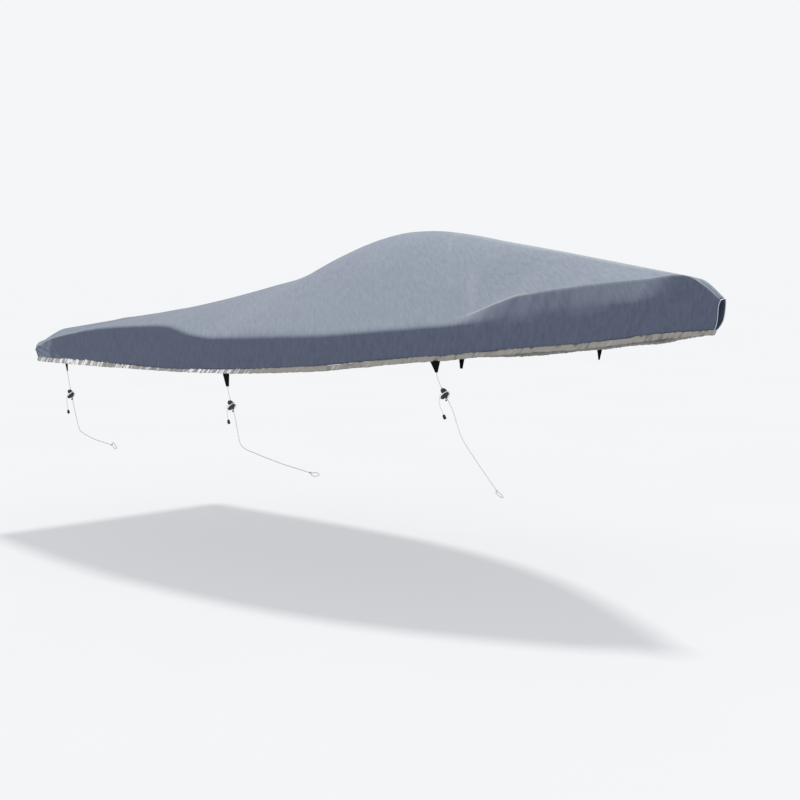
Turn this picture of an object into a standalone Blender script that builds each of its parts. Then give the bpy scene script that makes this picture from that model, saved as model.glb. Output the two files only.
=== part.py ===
# Fitted cover for a 4.7 m open boat, as it hangs over the boat: metres, +X to the bow,
# +Y to port, +Z up. The origin is under the cloth at the highest point of its ridge.
# Stations are measured forward from the stern and levels up from the ground under the
# trailer; toFrame() moves both to the cover's own frame. Starboard is modelled, and the
# cloth, its casing and the notch binding are the same on both sides.
import math

import bpy
import numpy as np
from mathutils import Matrix, Vector

NAME = "boat_cover"

# Driving sizes.
STERN = -0.15              # station of the stern's flat
BOW = 4.735                # station of the sides of the bow notch
CLOTH_THICK = 0.002
RIDGE_STATION = 2.76       # the highest point of the ridge
RIDGE_LEVEL = 1.988
CORNER_RADIUS = 0.11       # stern corners, in plan
CORNER_DIP = 0.012         # how much lower the gunwale edge runs round a corner
CORNER_LIFT = 0.012        # how far the cloth stands up inside that edge
SKIRT_TUCK = 0.034         # how far the hem is drawn in under the gunwale
# Near the bow the side is drawn straight from the hem to the rail, by these shares.
STRAIGHT_STATIONS = (4.49, 4.58, 4.64, BOW)
STRAIGHT_SHARES = (0.0, 1.0, 1.0, 0.25)
NOSE_FOOT = 0.010          # half the width of the notch at its foot
NOSE_RAKE = 0.026          # how far aft of its sides that foot lies
NOSE_REACH = 0.016         # how far the peak over the notch overhangs its sides
RIDGE_ROUND = 0.22         # how softly the ridge turns over, as a share of the half beam
SEWN_GAP = 0.0005          # between two pieces that are sewn, tied or pressed together

# Sections from stern to bow: half beam at the gunwale, level of the cloth's lower edge,
# of the gunwale and of the ridge, how far the bow rail lifts the cloth and how far it
# stands inside the gunwale.
SECTION_COLUMNS = ("station", "beam", "edge", "gunwale", "ridge", "lift", "inset")
SECTIONS = (
    (STERN, 0.932, 1.168, 1.205, 1.416, 0.000, 0.052),
    (0.10, 0.944, 1.168, 1.297, 1.424, 0.000, 0.052),
    (0.35, 0.962, 1.170, 1.342, 1.456, 0.000, 0.052),
    (0.80, 0.992, 1.174, 1.392, 1.530, 0.000, 0.052),
    (1.25, 1.012, 1.174, 1.419, 1.612, 0.000, 0.052),
    (1.58, 1.019, 1.178, 1.422, 1.684, 0.000, 0.052),
    (1.78, 1.020, 1.187, 1.396, 1.732, 0.000, 0.052),
    (1.95, 1.017, 1.194, 1.381, 1.790, 0.000, 0.052),
    (2.15, 1.005, 1.204, 1.388, 1.878, 0.000, 0.052),
    (2.45, 0.972, 1.230, 1.401, 1.965, 0.000, 0.052),
    (2.76, 0.920, 1.263, 1.415, 1.988, 0.000, 0.052),
    (3.05, 0.852, 1.291, 1.441, 1.967, 0.000, 0.052),
    (3.35, 0.758, 1.318, 1.470, 1.923, 0.000, 0.052),
    (3.58, 0.665, 1.340, 1.495, 1.891, 0.002, 0.052),
    (3.74, 0.590, 1.362, 1.510, 1.868, 0.030, 0.056),
    (3.92, 0.502, 1.382, 1.537, 1.841, 0.071, 0.062),
    (4.15, 0.380, 1.406, 1.578, 1.806, 0.073, 0.066),
    (4.38, 0.252, 1.445, 1.616, 1.771, 0.050, 0.085),
    (4.55, 0.152, 1.470, 1.646, 1.744, 0.030, 0.108),
    (4.64, 0.098, 1.478, 1.640, 1.716, 0.010, 0.062),
    (BOW, 0.044, 1.484, 1.592, 1.640, 0.016, 0.018),
)

# The gunwale edge across the stern, from the corner to the middle.
STERN_COLUMNS = ("side", "level")
STERN_EDGE = (
    (0.00, 1.416),
    (0.20, 1.408),
    (0.40, 1.373),
    (0.60, 1.350),
    (0.70, 1.340),
    (0.94, 1.200),
)

# Folds pressed into a stern corner. Places are shares of the corner's arc, from the side
# to the stern: where each fold meets the hem and where it meets the gunwale.
FOLD_COLUMNS = ("hem", "top", "depth", "half")
CORNER_FOLDS = (
    (0.06, 0.36, 0.009, 0.16),
    (0.40, 0.70, 0.008, 0.15),
    (0.74, 0.98, 0.007, 0.15),
)

# The mesh of the cloth: rows up the skirt, rows from the rail to the ridge, and columns.
SKIRT_ROWS = (0.0, 0.3, 0.62, 0.88, 1.0)
TOP_ROWS = (0.13, 0.28, 0.44, 0.60, 0.75, 0.88, 1.0)
SIDE_PITCH = 0.13
BOW_PITCH = 0.055
BOW_START = 3.5            # columns stand at the bow pitch forward of this station
CORNER_STEPS = 9
STERN_STEPS = 7
FAN_SIDE = 0.75            # aft of this station the rows lean forward to the ridge
FAN_CORNER = (0.60, 0.50)  # where the rows of the corner meet the ridge
FAN_MIDDLE = 0.30          # where the ridge starts

# Edge casing: lengths sewn end to end from the stem to the middle of the stern, and the
# stations where they meet. The stem's and the stern's go right across.
CASING_HEIGHT = 0.034
CASING_THICK = 0.009
CASING_STEM_STEPS = 3
CASING_NAMES = ("stem", "nose", "bow", "front", "middle", "quarter", "aft", "corner", "stern")
CASING_JOINTS = (4.68, 4.20, 3.57, 2.80, 1.85, 0.95, STERN + CORNER_RADIUS)

BINDING_RADIUS = 0.0022

# Webbing tabs under the casing.
TAB_COLUMNS = ("name", "station", "width", "tip", "length")
TABS = (
    ("stern", 0.30, 0.036, 0.012, 0.044),
    ("middle", 2.075, 0.048, 0.016, 0.062),
    ("forward", 3.455, 0.070, 0.014, 0.050),
)
TAB_THICK = 0.003
TAB_GAP = 0.0008
TAB_LEAN = 0.10            # the hull leans in, and the tabs with it

# Tie-down cords. The route of each goes on from its tab's tip: the bend where the
# hull's chine carried it, and then the trailer.
CORD_RADIUS = 0.0025
CORD_ROUTES = {
    "stern": ((0.335, -0.905, 0.900), (0.372, -0.880, 0.705), (0.345, -0.845, 0.683),
              (0.254, -0.700, 0.619), (0.158, -0.500, 0.552)),
    "middle": ((2.085, -0.925, 0.930), (2.085, -0.885, 0.765), (2.070, -0.855, 0.742),
               (1.993, -0.700, 0.684), (1.971, -0.500, 0.606), (2.009, -0.300, 0.532)),
    "forward": ((3.500, -0.600, 1.050), (3.518, -0.556, 0.915), (3.515, -0.530, 0.880),
                (3.490, -0.410, 0.766), (3.452, -0.200, 0.575)),
}
CORD_STEP = 3.0            # in cord diameters
CORD_LEAD = 0.02           # how far a cord runs on in line with its tab

# A cleat is a flat moulded hook with a slot in its aft side and a lug at its foot. Its
# outline is across and up from its top, seen from outside, and so is its tail's route.
CLEAT_THICK = 0.009
CLEAT_FACE = 40.0          # degrees its face is turned to the bow
CLEAT_OUTLINE = ((-0.0042, 0.0000), (0.0074, 0.0000), (0.0160, -0.0075), (0.0297, -0.0245),
                 (0.0314, -0.0319), (0.0232, -0.0420), (0.0227, -0.0542), (0.0202, -0.0690),
                 (0.0107, -0.0680), (0.0100, -0.0605), (0.0150, -0.0470), (0.0042, -0.0584),
                 (-0.0117, -0.0574), (-0.0143, -0.0488), (-0.0074, -0.0362),
                 (0.0138, -0.0225), (0.0107, -0.0191), (-0.0042, -0.0276),
                 (-0.0117, -0.0212), (-0.0138, -0.0117), (-0.0112, -0.0032))
TAIL_RADIUS = 0.002
TAIL_ROUTE = ((-0.0170, -0.0360), (-0.0170, -0.0520), (-0.0185, -0.0850))

# Where each cleat sits: how far down the cord its top is, how far forward of the cord
# that top's middle lies, and where its tail ends, across and down from there.
CLEAT_COLUMNS = ("drop", "side", "swing", "hang")
CLEATS = {
    "stern": (0.123, -0.003, -0.010, 0.133),
    "middle": (0.080, -0.002, -0.014, 0.115),
    "forward": (0.085, 0.008, 0.002, 0.141),
}
BEAD_PROFILE = ((0.0034, 0.000), (0.0060, 0.001), (0.0078, 0.010), (0.0082, 0.020),
                (0.0066, 0.025))
BEAD_SIDES = 12
KNOT_RADIUS = 0.0085
KNOT_SIDES = 12
KNOT_ROWS = 8
LOOP_RADIUS = 0.024
LOOP_POINTS = 20


def columnOf(table, names, name):
    at = names.index(name)
    return np.array([row[at] for row in table], float)


def smoothRead(table, names, name, where):
    """A smooth curve through a table's column: cubic pieces whose slopes are the means
    of the slopes on either side."""
    xs = columnOf(table, names, names[0])
    ys = columnOf(table, names, name)
    slopes = np.diff(ys) / np.diff(xs)
    tangents = np.concatenate((slopes[:1], (slopes[1:] + slopes[:-1]) / 2, slopes[-1:]))
    where = np.clip(np.asarray(where, float), xs[0], xs[-1])
    piece = np.clip(np.searchsorted(xs, where, "right") - 1, 0, len(xs) - 2)
    width = xs[piece + 1] - xs[piece]
    t = (where - xs[piece]) / width
    return (ys[piece] * (1 + 2 * t) * (1 - t) ** 2 + ys[piece + 1] * t * t * (3 - 2 * t)
            + width * (tangents[piece] * t * (1 - t) ** 2 - tangents[piece + 1] * t * t * (1 - t)))


def section(name, station):
    return smoothRead(SECTIONS, SECTION_COLUMNS, name, station)


def toFrame(points):
    origin = (RIDGE_STATION, 0.0, RIDGE_LEVEL - CLOTH_THICK)
    return np.asarray(points, float) - np.array(origin)


def outline():
    """The gunwale edge in plan and height, as columns from the bow round to the middle
    of the stern. Each has its point, its outward direction, the level of the cloth's
    edge, where its rows meet the ridge, the rail's lift and its share of the corner."""
    bow = np.arange(BOW, BOW_START, -BOW_PITCH)
    sternTurn = STERN + CORNER_RADIUS
    steps = math.ceil((bow[-1] - sternTurn) / SIDE_PITCH)
    side = np.linspace(bow[-1], sternTurn, steps + 1)[1:]
    stations = np.concatenate((bow, side))
    beam = section("beam", stations)
    lean = (section("beam", stations + 0.005) - section("beam", stations - 0.005)) / 0.01
    columns = []
    for x, half, slope in zip(stations, beam, lean):
        out = np.array((-slope, -1.0)) / math.hypot(slope, 1.0)
        fan = (min(x, FAN_SIDE) - sternTurn) / (FAN_SIDE - sternTurn)
        meet = x if x > FAN_SIDE else FAN_CORNER[0] + fan * (FAN_SIDE - FAN_CORNER[0])
        columns.append(dict(x=x, y=-half, out=out, edge=float(section("edge", x)),
                            gunwale=float(section("gunwale", x)), meet=meet,
                            lift=float(section("lift", x)),
                            inset=float(section("inset", x)), corner=-1.0))
    columns += cornerColumns(columns[-1])
    columns += sternColumns(columns[-1])
    return columns


def cornerColumns(last):
    half = -last["y"]
    centre = (STERN + CORNER_RADIUS, CORNER_RADIUS - half)
    endLevel = smoothRead(STERN_EDGE, STERN_COLUMNS, "level", half - CORNER_RADIUS)
    found = []
    for step in range(1, CORNER_STEPS + 1):
        share = step / CORNER_STEPS
        angle = share * math.pi / 2
        out = np.array((-math.sin(angle), -math.cos(angle)))
        level = last["gunwale"] + share * (endLevel - last["gunwale"])
        level -= CORNER_DIP * math.sin(math.pi * share)
        found.append(dict(x=centre[0] + CORNER_RADIUS * out[0],
                          y=centre[1] + CORNER_RADIUS * out[1], out=out,
                          edge=last["edge"], gunwale=level,
                          meet=FAN_CORNER[0] + share * (FAN_CORNER[1] - FAN_CORNER[0]),
                          lift=CORNER_LIFT * math.sin(math.pi * share),
                          inset=last["inset"], corner=share))
    return found


def sternColumns(last):
    found = []
    for step in range(1, STERN_STEPS + 1):
        share = step / STERN_STEPS
        y = last["y"] * (1 - share)
        level = smoothRead(STERN_EDGE, STERN_COLUMNS, "level", -y)
        found.append(dict(x=STERN, y=y, out=np.array((-1.0, 0.0)), edge=last["edge"],
                          gunwale=float(level),
                          meet=FAN_CORNER[1] + share * (FAN_MIDDLE - FAN_CORNER[1]),
                          lift=0.0, inset=last["inset"], corner=-1.0))
    return found


def bowShare(x):
    """0 aft of the nose, rising to 1 at the notch."""
    start = BOW - 0.2
    return min(max((x - start) / (BOW - start), 0.0), 1.0) ** 2


def foldDepth(column, height):
    """How deep the corner's folds press the skirt in, at a share of its height."""
    if column["corner"] < 0:
        return 0.0
    depth = 0.0
    for row in CORNER_FOLDS:
        fold = dict(zip(FOLD_COLUMNS, row))
        middle = fold["hem"] + height * (fold["top"] - fold["hem"])
        depth += fold["depth"] * math.exp(-((column["corner"] - middle) / fold["half"]) ** 2)
    return depth


def skirtPoint(column, height):
    """A point of the skirt at a share of its height: drawn in towards the hem."""
    nose = bowShare(column["x"])
    tuck = SKIRT_TUCK * (1 - nose) + nose * (abs(column["y"]) - NOSE_FOOT)
    push = -tuck * (1 - height) ** 1.6 - foldDepth(column, height)
    level = column["edge"] + height * (column["gunwale"] - column["edge"])
    rake = -NOSE_RAKE * nose * (1 - height) ** 1.6
    return (column["x"] + push * column["out"][0] + rake,
            column["y"] + push * column["out"][1], level)


def ridgeRise(share):
    """0 at the gunwale to 1 on the ridge: a straight slope that rounds over."""
    soft = math.hypot(1 - share, RIDGE_ROUND) - RIDGE_ROUND
    return 1 - soft / (math.hypot(1, RIDGE_ROUND) - RIDGE_ROUND)


def topPoints(column):
    """The rows from the gunwale to the ridge: up to the rail's crease, then across."""
    start = np.array((column["x"], column["y"], column["gunwale"]))
    reach = NOSE_REACH * bowShare(column["x"])
    ridge = section("ridge", column["meet"])
    end = np.array((column["meet"] + reach, 0.0, ridge))
    span = math.hypot(*(end - start)[:2])
    railShare = column["inset"] / span
    rail = start + railShare * (end - start)
    rail[2] = start[2] + ridgeRise(railShare) * (end[2] - start[2]) + column["lift"]
    found = [start + 0.5 * (rail - start), rail]
    for share in TOP_ROWS:
        point = rail + share * (end - rail)
        point[2] = rail[2] + ridgeRise(share) * (end[2] - rail[2])
        found.append(point)
    return found


def columnPoints(column):
    """A column's points from the hem to the ridge, with its side drawn straight from the
    hem to the rail as far as its share says."""
    points = [skirtPoint(column, height) for height in SKIRT_ROWS] + topPoints(column)
    points = np.array(points, float)
    rail = len(SKIRT_ROWS) + 1
    side = points[:rail + 1]
    rise = (side[:, 2:] - side[0, 2]) / (side[-1, 2] - side[0, 2])
    straight = np.interp(column["x"], STRAIGHT_STATIONS, STRAIGHT_SHARES)
    points[:rail + 1] += straight * (side[0] + rise * (side[-1] - side[0]) - side)
    return points


def principled(name, colour, roughness, metallic=0.0):
    material = bpy.data.materials.new(name)
    material.use_nodes = True
    shader = material.node_tree.nodes["Principled BSDF"]
    shader.inputs["Base Color"].default_value = (*colour, 1.0)
    shader.inputs["Roughness"].default_value = roughness
    shader.inputs["Metallic"].default_value = metallic
    return material


def addMesh(name, vertices, faces, material):
    mesh = bpy.data.meshes.new(name)
    mesh.from_pydata([tuple(map(float, v)) for v in vertices], [], faces)
    mesh.materials.append(material)
    piece = bpy.data.objects.new(name, mesh)
    collection.objects.link(piece)
    return piece


def addMirror(piece):
    mirror = piece.modifiers.new("both sides", "MIRROR")
    mirror.use_axis = (False, True, False)
    mirror.use_clip = True
    mirror.merge_threshold = 0.0001


def gridFaces(columns, rows, closedRows=False):
    faces = []
    for c in range(columns - 1):
        for r in range(rows if closedRows else rows - 1):
            up = (r + 1) % rows
            faces.append((c * rows + r, c * rows + up, (c + 1) * rows + up, (c + 1) * rows + r))
    return faces


def makeCloth(columns, material):
    points = toFrame(np.concatenate([columnPoints(column) for column in columns]))
    rows = len(points) // len(columns)
    points[-rows:, 1] = 0.0
    cloth = addMesh("cover_cloth", points, gridFaces(len(columns), rows), material)
    addMirror(cloth)
    wall = cloth.modifiers.new("cloth", "SOLIDIFY")
    wall.thickness = CLOTH_THICK
    wall.offset = -1.0
    cloth.data.shade_smooth()
    return cloth


def casingColumns(columns):
    """Where the casing's middle runs, with its outward direction: round the stem, then
    under the cloth's edge."""
    first = skirtPoint(columns[0], 0.0)
    found = []
    for step in range(CASING_STEM_STEPS):
        angle = (step / CASING_STEM_STEPS) * math.pi / 2
        out = (math.cos(angle), -math.sin(angle))
        found.append((first[0] - first[1] * 0.6 * math.cos(angle),
                      first[1] * math.sin(angle), first[2], out))
    for column in columns:
        x, y, level = skirtPoint(column, 0.0)
        out = column["out"]
        x -= out[0] * CLOTH_THICK / 2
        y -= out[1] * CLOTH_THICK / 2
        found.append((x, y, level, out))
    return found


def casingLengths(line):
    """Each length's name, and its first and last column."""
    stations = np.array([point[0] for point in line])
    square = next(i for i, point in enumerate(line) if point[3][0] < -0.999)
    ends = [0]
    ends += [int(np.argmin(np.abs(stations[:square] - joint))) for joint in CASING_JOINTS]
    ends += [square, len(line) - 1]
    return zip(CASING_NAMES, ends[:-1], ends[1:])


def casingRings(line):
    """The casing's profile at each column, with the ends drawn in by half a gap."""
    half = CASING_THICK / 2
    profile = ((-half, 0.0), (-half * 0.9, -CASING_HEIGHT), (half * 0.9, -CASING_HEIGHT),
               (half * 1.3, -0.5 * CASING_HEIGHT), (half, 0.0))
    rings = []
    for x, y, level, out in line:
        ring = [(x + out[0] * off, y + out[1] * off, level - SEWN_GAP + down)
                for off, down in profile]
        rings.append(ring)
    rings = toFrame(rings)
    for end, nextRing in ((0, 1), (-1, -2)):
        way = rings[nextRing].mean(axis=0) - rings[end].mean(axis=0)
        rings[end] += 0.5 * SEWN_GAP * way / np.linalg.norm(way)
    return rings


def makeCasing(columns, material):
    line = casingColumns(columns)
    for name, first, last in casingLengths(line):
        rings = casingRings(line[first:last + 1])
        count, rows = rings.shape[:2]
        faces = gridFaces(count, rows, closedRows=True)
        startCap = tuple(range(rows))[::-1]
        endCap = tuple((count - 1) * rows + r for r in range(rows))
        if name == "stem":
            rings[0, :, 1] = 0.0
            addMirror(addMesh("casing_stem", rings.reshape(-1, 3), faces + [endCap], material))
            continue
        if name == "stern":
            rings[-1, :, 1] = 0.0
            addMirror(addMesh("casing_stern", rings.reshape(-1, 3), faces + [startCap], material))
            continue
        faces += [startCap, endCap]
        addMesh("casing_" + name + "_starboard", rings.reshape(-1, 3), faces, material)
        faces = [face[::-1] for face in faces]
        other = rings.reshape(-1, 3) * (1, -1, 1)
        addMesh("casing_" + name + "_port", other, faces, material)


def smoothRoute(points, step):
    """Points at even steps on a smooth curve through the route's own points."""
    points = np.array(points, float)
    run = np.concatenate(((0.0,), np.cumsum(np.linalg.norm(np.diff(points, axis=0), axis=1))))
    table = [(r, *p) for r, p in zip(run, points)]
    names = ("run", "x", "y", "z")
    count = max(int(round(run[-1] / step)), 3)
    where = np.linspace(0, run[-1], count + 1)
    return np.stack([smoothRead(table, names, axis, where) for axis in "xyz"], axis=1)


def addTube(name, points, radius, material, closed=False, sides=2):
    curve = bpy.data.curves.new(name, "CURVE")
    curve.dimensions = "3D"
    curve.bevel_depth = radius
    curve.bevel_resolution = sides
    curve.use_fill_caps = not closed
    spline = curve.splines.new("POLY")
    spline.points.add(len(points) - 1)
    for place, point in zip(spline.points, points):
        place.co = (*map(float, point), 1.0)
    spline.use_cyclic_u = closed
    curve.materials.append(material)
    piece = bpy.data.objects.new(name, curve)
    collection.objects.link(piece)
    return piece


def addPlate(name, corners, thick, material):
    """A flat plate of an outline, in its own XY plane and even about it."""
    curve = bpy.data.curves.new(name, "CURVE")
    curve.dimensions = "2D"
    curve.fill_mode = "BOTH"
    curve.extrude = thick / 2
    spline = curve.splines.new("POLY")
    spline.points.add(len(corners) - 1)
    for place, corner in zip(spline.points, corners):
        place.co = (*corner, 0.0, 1.0)
    spline.use_cyclic_u = True
    curve.materials.append(material)
    piece = bpy.data.objects.new(name, curve)
    collection.objects.link(piece)
    return piece


def makeBinding(columns, material):
    """The tape round the notch: up its starboard edge, over the peak and down."""
    ahead = BINDING_RADIUS + SEWN_GAP
    half = columnPoints(columns[0])
    half[:, 0] += ahead
    half[0, 2] += BINDING_RADIUS
    half[:len(SKIRT_ROWS), 1] += CLOTH_THICK / 2
    half[len(SKIRT_ROWS):, 2] -= CLOTH_THICK / 2
    other = half[-2::-1] * (1, -1, 1)
    return addTube("notch_binding", toFrame(np.concatenate((half, other))),
                   BINDING_RADIUS, material)


def casingPoint(columns, station):
    """The middle of the casing's lower edge on the starboard side."""
    line = [(x, y, level - SEWN_GAP - CASING_HEIGHT)
            for x, y, level, out in casingColumns(columns) if out[1] < -0.5]
    line = np.array(line)[::-1]
    return Vector([np.interp(station, line[:, 0], line[:, axis]) for axis in range(3)])


def tabFrame(columns, tab, side):
    """A matrix at the casing's lower edge: +X along the hull, -Z down it, +Y inwards."""
    reach = tab["width"] / 2
    ends = [casingPoint(columns, tab["station"] + way * reach) for way in (-1, 1)]
    along = (ends[1] - ends[0]).normalized()
    inward = Vector((-along.y, along.x, 0.0)).normalized()
    up = (along.cross(inward) - TAB_LEAN * inward).normalized()
    inward = up.cross(along)
    place = Matrix((along, inward, up)).transposed().to_4x4()
    place.translation = Vector(toFrame((ends[0] + ends[1]) / 2)) - Vector((0, 0, TAB_GAP))
    if side > 0:
        flip = Matrix.Scale(-1, 4, (0, 1, 0))
        place = flip @ place @ flip
    return place


def makeTab(columns, tab, side, material):
    """A tapered flap of webbing with a short flat tip."""
    wide, tip = tab["width"] / 2, tab["tip"] / 2
    corners = ((-wide, 0.0), (wide, 0.0), (tip, -tab["length"]), (-tip, -tab["length"]))
    label = "starboard" if side < 0 else "port"
    piece = addPlate("tab_" + tab["name"] + "_" + label, corners, TAB_THICK, material)
    piece.matrix_world = tabFrame(columns, tab, side) @ Matrix.Rotation(math.pi / 2, 4, "X")


def alongRoute(points, distance):
    """The point at a distance along a route."""
    steps = np.linalg.norm(np.diff(points, axis=0), axis=1)
    run = np.concatenate(((0.0,), np.cumsum(steps)))
    return Vector([np.interp(distance, run, points[:, axis]) for axis in range(3)])


def makeTie(columns, tab, materials):
    """One tie-down: its cord, the cleat on it, the tail and bead, the knot and loop."""
    name = tab["name"]
    frame = tabFrame(columns, tab, -1)
    drops = (tab["length"] + SEWN_GAP, tab["length"] + CORD_LEAD)
    route = [tuple(frame @ Vector((0.0, 0.0, -drop))) for drop in drops]
    route += [tuple(toFrame(point)) for point in CORD_ROUTES[name]]
    points = smoothRoute(route, CORD_STEP * 2 * CORD_RADIUS)
    addTube("cord_" + name, points, CORD_RADIUS, materials["cord"])
    seat = dict(zip(CLEAT_COLUMNS, CLEATS[name]))
    hook = cleatFrame(seat, points)
    cleat = addPlate("cleat_" + name, CLEAT_OUTLINE, CLEAT_THICK, materials["cleat"])
    cleat.matrix_world = hook
    turns = TAIL_ROUTE + ((seat["swing"], -seat["hang"]),)
    tail = [tuple(hook @ Vector((across, up, 0.0))) for across, up in turns]
    tail = smoothRoute(tail, CORD_STEP * 2 * TAIL_RADIUS)
    addTube("tail_" + name, tail, TAIL_RADIUS, materials["cord"])
    makeBead(name, tail, materials["bead"])
    makeLoop(name, points, materials["cord"])


def cleatFrame(seat, points):
    """A matrix at the cleat's top: +Z out of its face, +Y up, and the cord behind it."""
    top = alongRoute(points, seat["drop"])
    foot = alongRoute(points, seat["drop"] - CLEAT_OUTLINE[7][1])
    down = (foot - top).normalized()
    turn = math.radians(CLEAT_FACE)
    face = Vector((math.sin(turn), -math.cos(turn), 0.0))
    face = (face - face.dot(down) * down).normalized()
    up = (Vector((0, 0, 1)) - face.z * face).normalized()
    across = up.cross(face)
    frame = Matrix((across, up, face)).transposed().to_4x4()
    stand = CORD_RADIUS + CLEAT_THICK / 2 + SEWN_GAP
    frame.translation = top + stand * face + seat["side"] * across
    return frame


def endOf(points):
    """The last point of a route and the direction it ends in."""
    end = Vector(points[-1])
    return end, (end - Vector(points[-2])).normalized()


def makeBead(name, tail, material):
    end, direction = endOf(tail)
    profile = [(0.0, 0.0)] + list(BEAD_PROFILE) + [(0.0, BEAD_PROFILE[-1][1])]
    rows = [(radius, 0.0, -drop) for radius, drop in profile]
    edges = [(i, i + 1) for i in range(len(rows) - 1)]
    mesh = bpy.data.meshes.new("bead_" + name)
    mesh.from_pydata(rows, edges, [])
    mesh.materials.append(material)
    piece = bpy.data.objects.new(mesh.name, mesh)
    piece.location = end + SEWN_GAP * direction
    piece.rotation_euler = direction.to_track_quat("-Z", "Y").to_euler()
    screw = piece.modifiers.new("turned", "SCREW")
    screw.steps = screw.render_steps = BEAD_SIDES
    screw.use_merge_vertices = True
    screw.merge_threshold = 0.0001
    collection.objects.link(piece)
    return piece


def makeLoop(name, points, material):
    """The knot at the cord's end and the loop below it that went round the trailer."""
    end, direction = endOf(points)
    knotCentre = end + direction * (KNOT_RADIUS + SEWN_GAP)
    bpy.ops.mesh.primitive_uv_sphere_add(
        segments=KNOT_SIDES, ring_count=KNOT_ROWS, radius=KNOT_RADIUS, location=knotCentre,
        rotation=direction.to_track_quat("Z", "Y").to_euler())
    knot = bpy.context.object
    knot.name = "knot_" + name
    knot.data.materials.append(material)
    takeIn(knot)
    centre = knotCentre + direction * (KNOT_RADIUS + CORD_RADIUS + LOOP_RADIUS + SEWN_GAP)
    side = direction.cross(Vector((0, 1, 0))).normalized()
    turns = [centre + LOOP_RADIUS * (math.cos(a) * direction + math.sin(a) * side)
             for a in np.linspace(0, 2 * math.pi, LOOP_POINTS, endpoint=False)]
    addTube("loop_" + name, turns, CORD_RADIUS, material, closed=True)


def takeIn(piece):
    for home in list(piece.users_collection):
        home.objects.unlink(piece)
    collection.objects.link(piece)


for old in list(bpy.data.objects):
    bpy.data.objects.remove(old, do_unlink=True)
collection = bpy.data.collections.new(NAME)
bpy.context.scene.collection.children.link(collection)

finishes = {
    "cloth": principled("blue_grey_canvas", (0.175, 0.195, 0.255), 0.85),
    "casing": principled("light_casing", (0.60, 0.58, 0.54), 0.8),
    "binding": principled("white_tape", (0.75, 0.76, 0.78), 0.7),
    "webbing": principled("black_webbing", (0.015, 0.015, 0.017), 0.75),
    "cord": principled("white_cord", (0.78, 0.78, 0.75), 0.7),
    "cleat": principled("dark_plastic", (0.055, 0.058, 0.06), 0.45),
    "bead": principled("black_plastic", (0.012, 0.012, 0.014), 0.4),
}
halfOutline = outline()
makeCloth(halfOutline, finishes["cloth"])
makeCasing(halfOutline, finishes["casing"])
makeBinding(halfOutline, finishes["binding"])
for tabRow in TABS:
    oneTab = dict(zip(TAB_COLUMNS, tabRow))
    makeTab(halfOutline, oneTab, -1, finishes["webbing"])
    makeTab(halfOutline, oneTab, 1, finishes["webbing"])
    makeTie(halfOutline, oneTab, finishes)
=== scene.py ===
# Fitted cover for a small open boat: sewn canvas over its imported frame, with a ruched
# edge casing, a bound bow notch, webbing tabs, moulded cleats and braided tie cords.
import math

import bmesh
import bpy
import numpy as np
from mathutils import Matrix, Vector


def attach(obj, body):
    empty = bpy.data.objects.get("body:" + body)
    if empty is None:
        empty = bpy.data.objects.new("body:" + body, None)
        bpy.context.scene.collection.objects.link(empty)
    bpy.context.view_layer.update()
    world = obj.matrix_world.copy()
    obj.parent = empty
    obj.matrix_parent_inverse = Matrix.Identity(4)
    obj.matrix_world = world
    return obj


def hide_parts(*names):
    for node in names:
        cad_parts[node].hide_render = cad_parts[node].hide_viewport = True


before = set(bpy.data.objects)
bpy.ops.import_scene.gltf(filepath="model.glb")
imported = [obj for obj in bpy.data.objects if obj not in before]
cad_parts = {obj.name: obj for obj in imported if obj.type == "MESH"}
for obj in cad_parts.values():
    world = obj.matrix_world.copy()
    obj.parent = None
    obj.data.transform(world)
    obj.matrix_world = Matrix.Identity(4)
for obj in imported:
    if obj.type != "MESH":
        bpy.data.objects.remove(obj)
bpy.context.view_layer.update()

origin = np.array((2.76, 0.0, 1.986))  # the frame's origin, as station, side and level


# Reading a shape.

def smoothTable(names, rows, name, where):
    # cubic pieces through a column, whose slopes are the means of the slopes either side
    table = np.array(rows, float)
    xs = table[:, 0]
    ys = table[:, names.index(name)]
    slopes = np.diff(ys) / np.diff(xs)
    tangents = np.concatenate((slopes[:1], (slopes[1:] + slopes[:-1]) / 2, slopes[-1:]))
    where = np.clip(np.asarray(where, float), xs[0], xs[-1])
    piece = np.clip(np.searchsorted(xs, where, "right") - 1, 0, len(xs) - 2)
    width = xs[piece + 1] - xs[piece]
    t = (where - xs[piece]) / width
    return (ys[piece] * (1 + 2 * t) * (1 - t) ** 2 + ys[piece + 1] * t * t * (3 - 2 * t)
            + width * (tangents[piece] * t * (1 - t) ** 2 - tangents[piece + 1] * t * t * (1 - t)))


def readTable(rows, where):
    # straight pieces through rows of place and value
    return np.interp(where, *np.array(rows).T)


def runLength(points):
    # distance along a route, summed from point to point
    steps = np.linalg.norm(np.diff(points, axis=0), axis=1)
    return np.concatenate(((0.0,), np.cumsum(steps)))


def smoothRoute(points, step):
    # points at even steps on a smooth curve through the route's own points
    points = np.array(points, float)
    run = runLength(points)
    rows = np.column_stack((run, points))
    count = max(int(round(run[-1] / step)), 3)
    where = np.linspace(0, run[-1], count + 1)
    return np.stack([smoothTable(("run", "x", "y", "z"), rows, axis, where)
                     for axis in "xyz"], axis=1)


def evenWave(seed, count, size):
    # soft random numbers from -1 to 1: white noise run through a bell of that many places
    draw = np.random.default_rng(seed).normal(size=count + 6 * size)
    bell = np.exp(-np.linspace(-2.5, 2.5, 5 * size) ** 2)
    wave = np.convolve(draw, bell / np.sqrt(np.sum(bell ** 2)), "same")
    return np.clip(wave[3 * size:3 * size + count] / 2.2, -1, 1)


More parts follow.
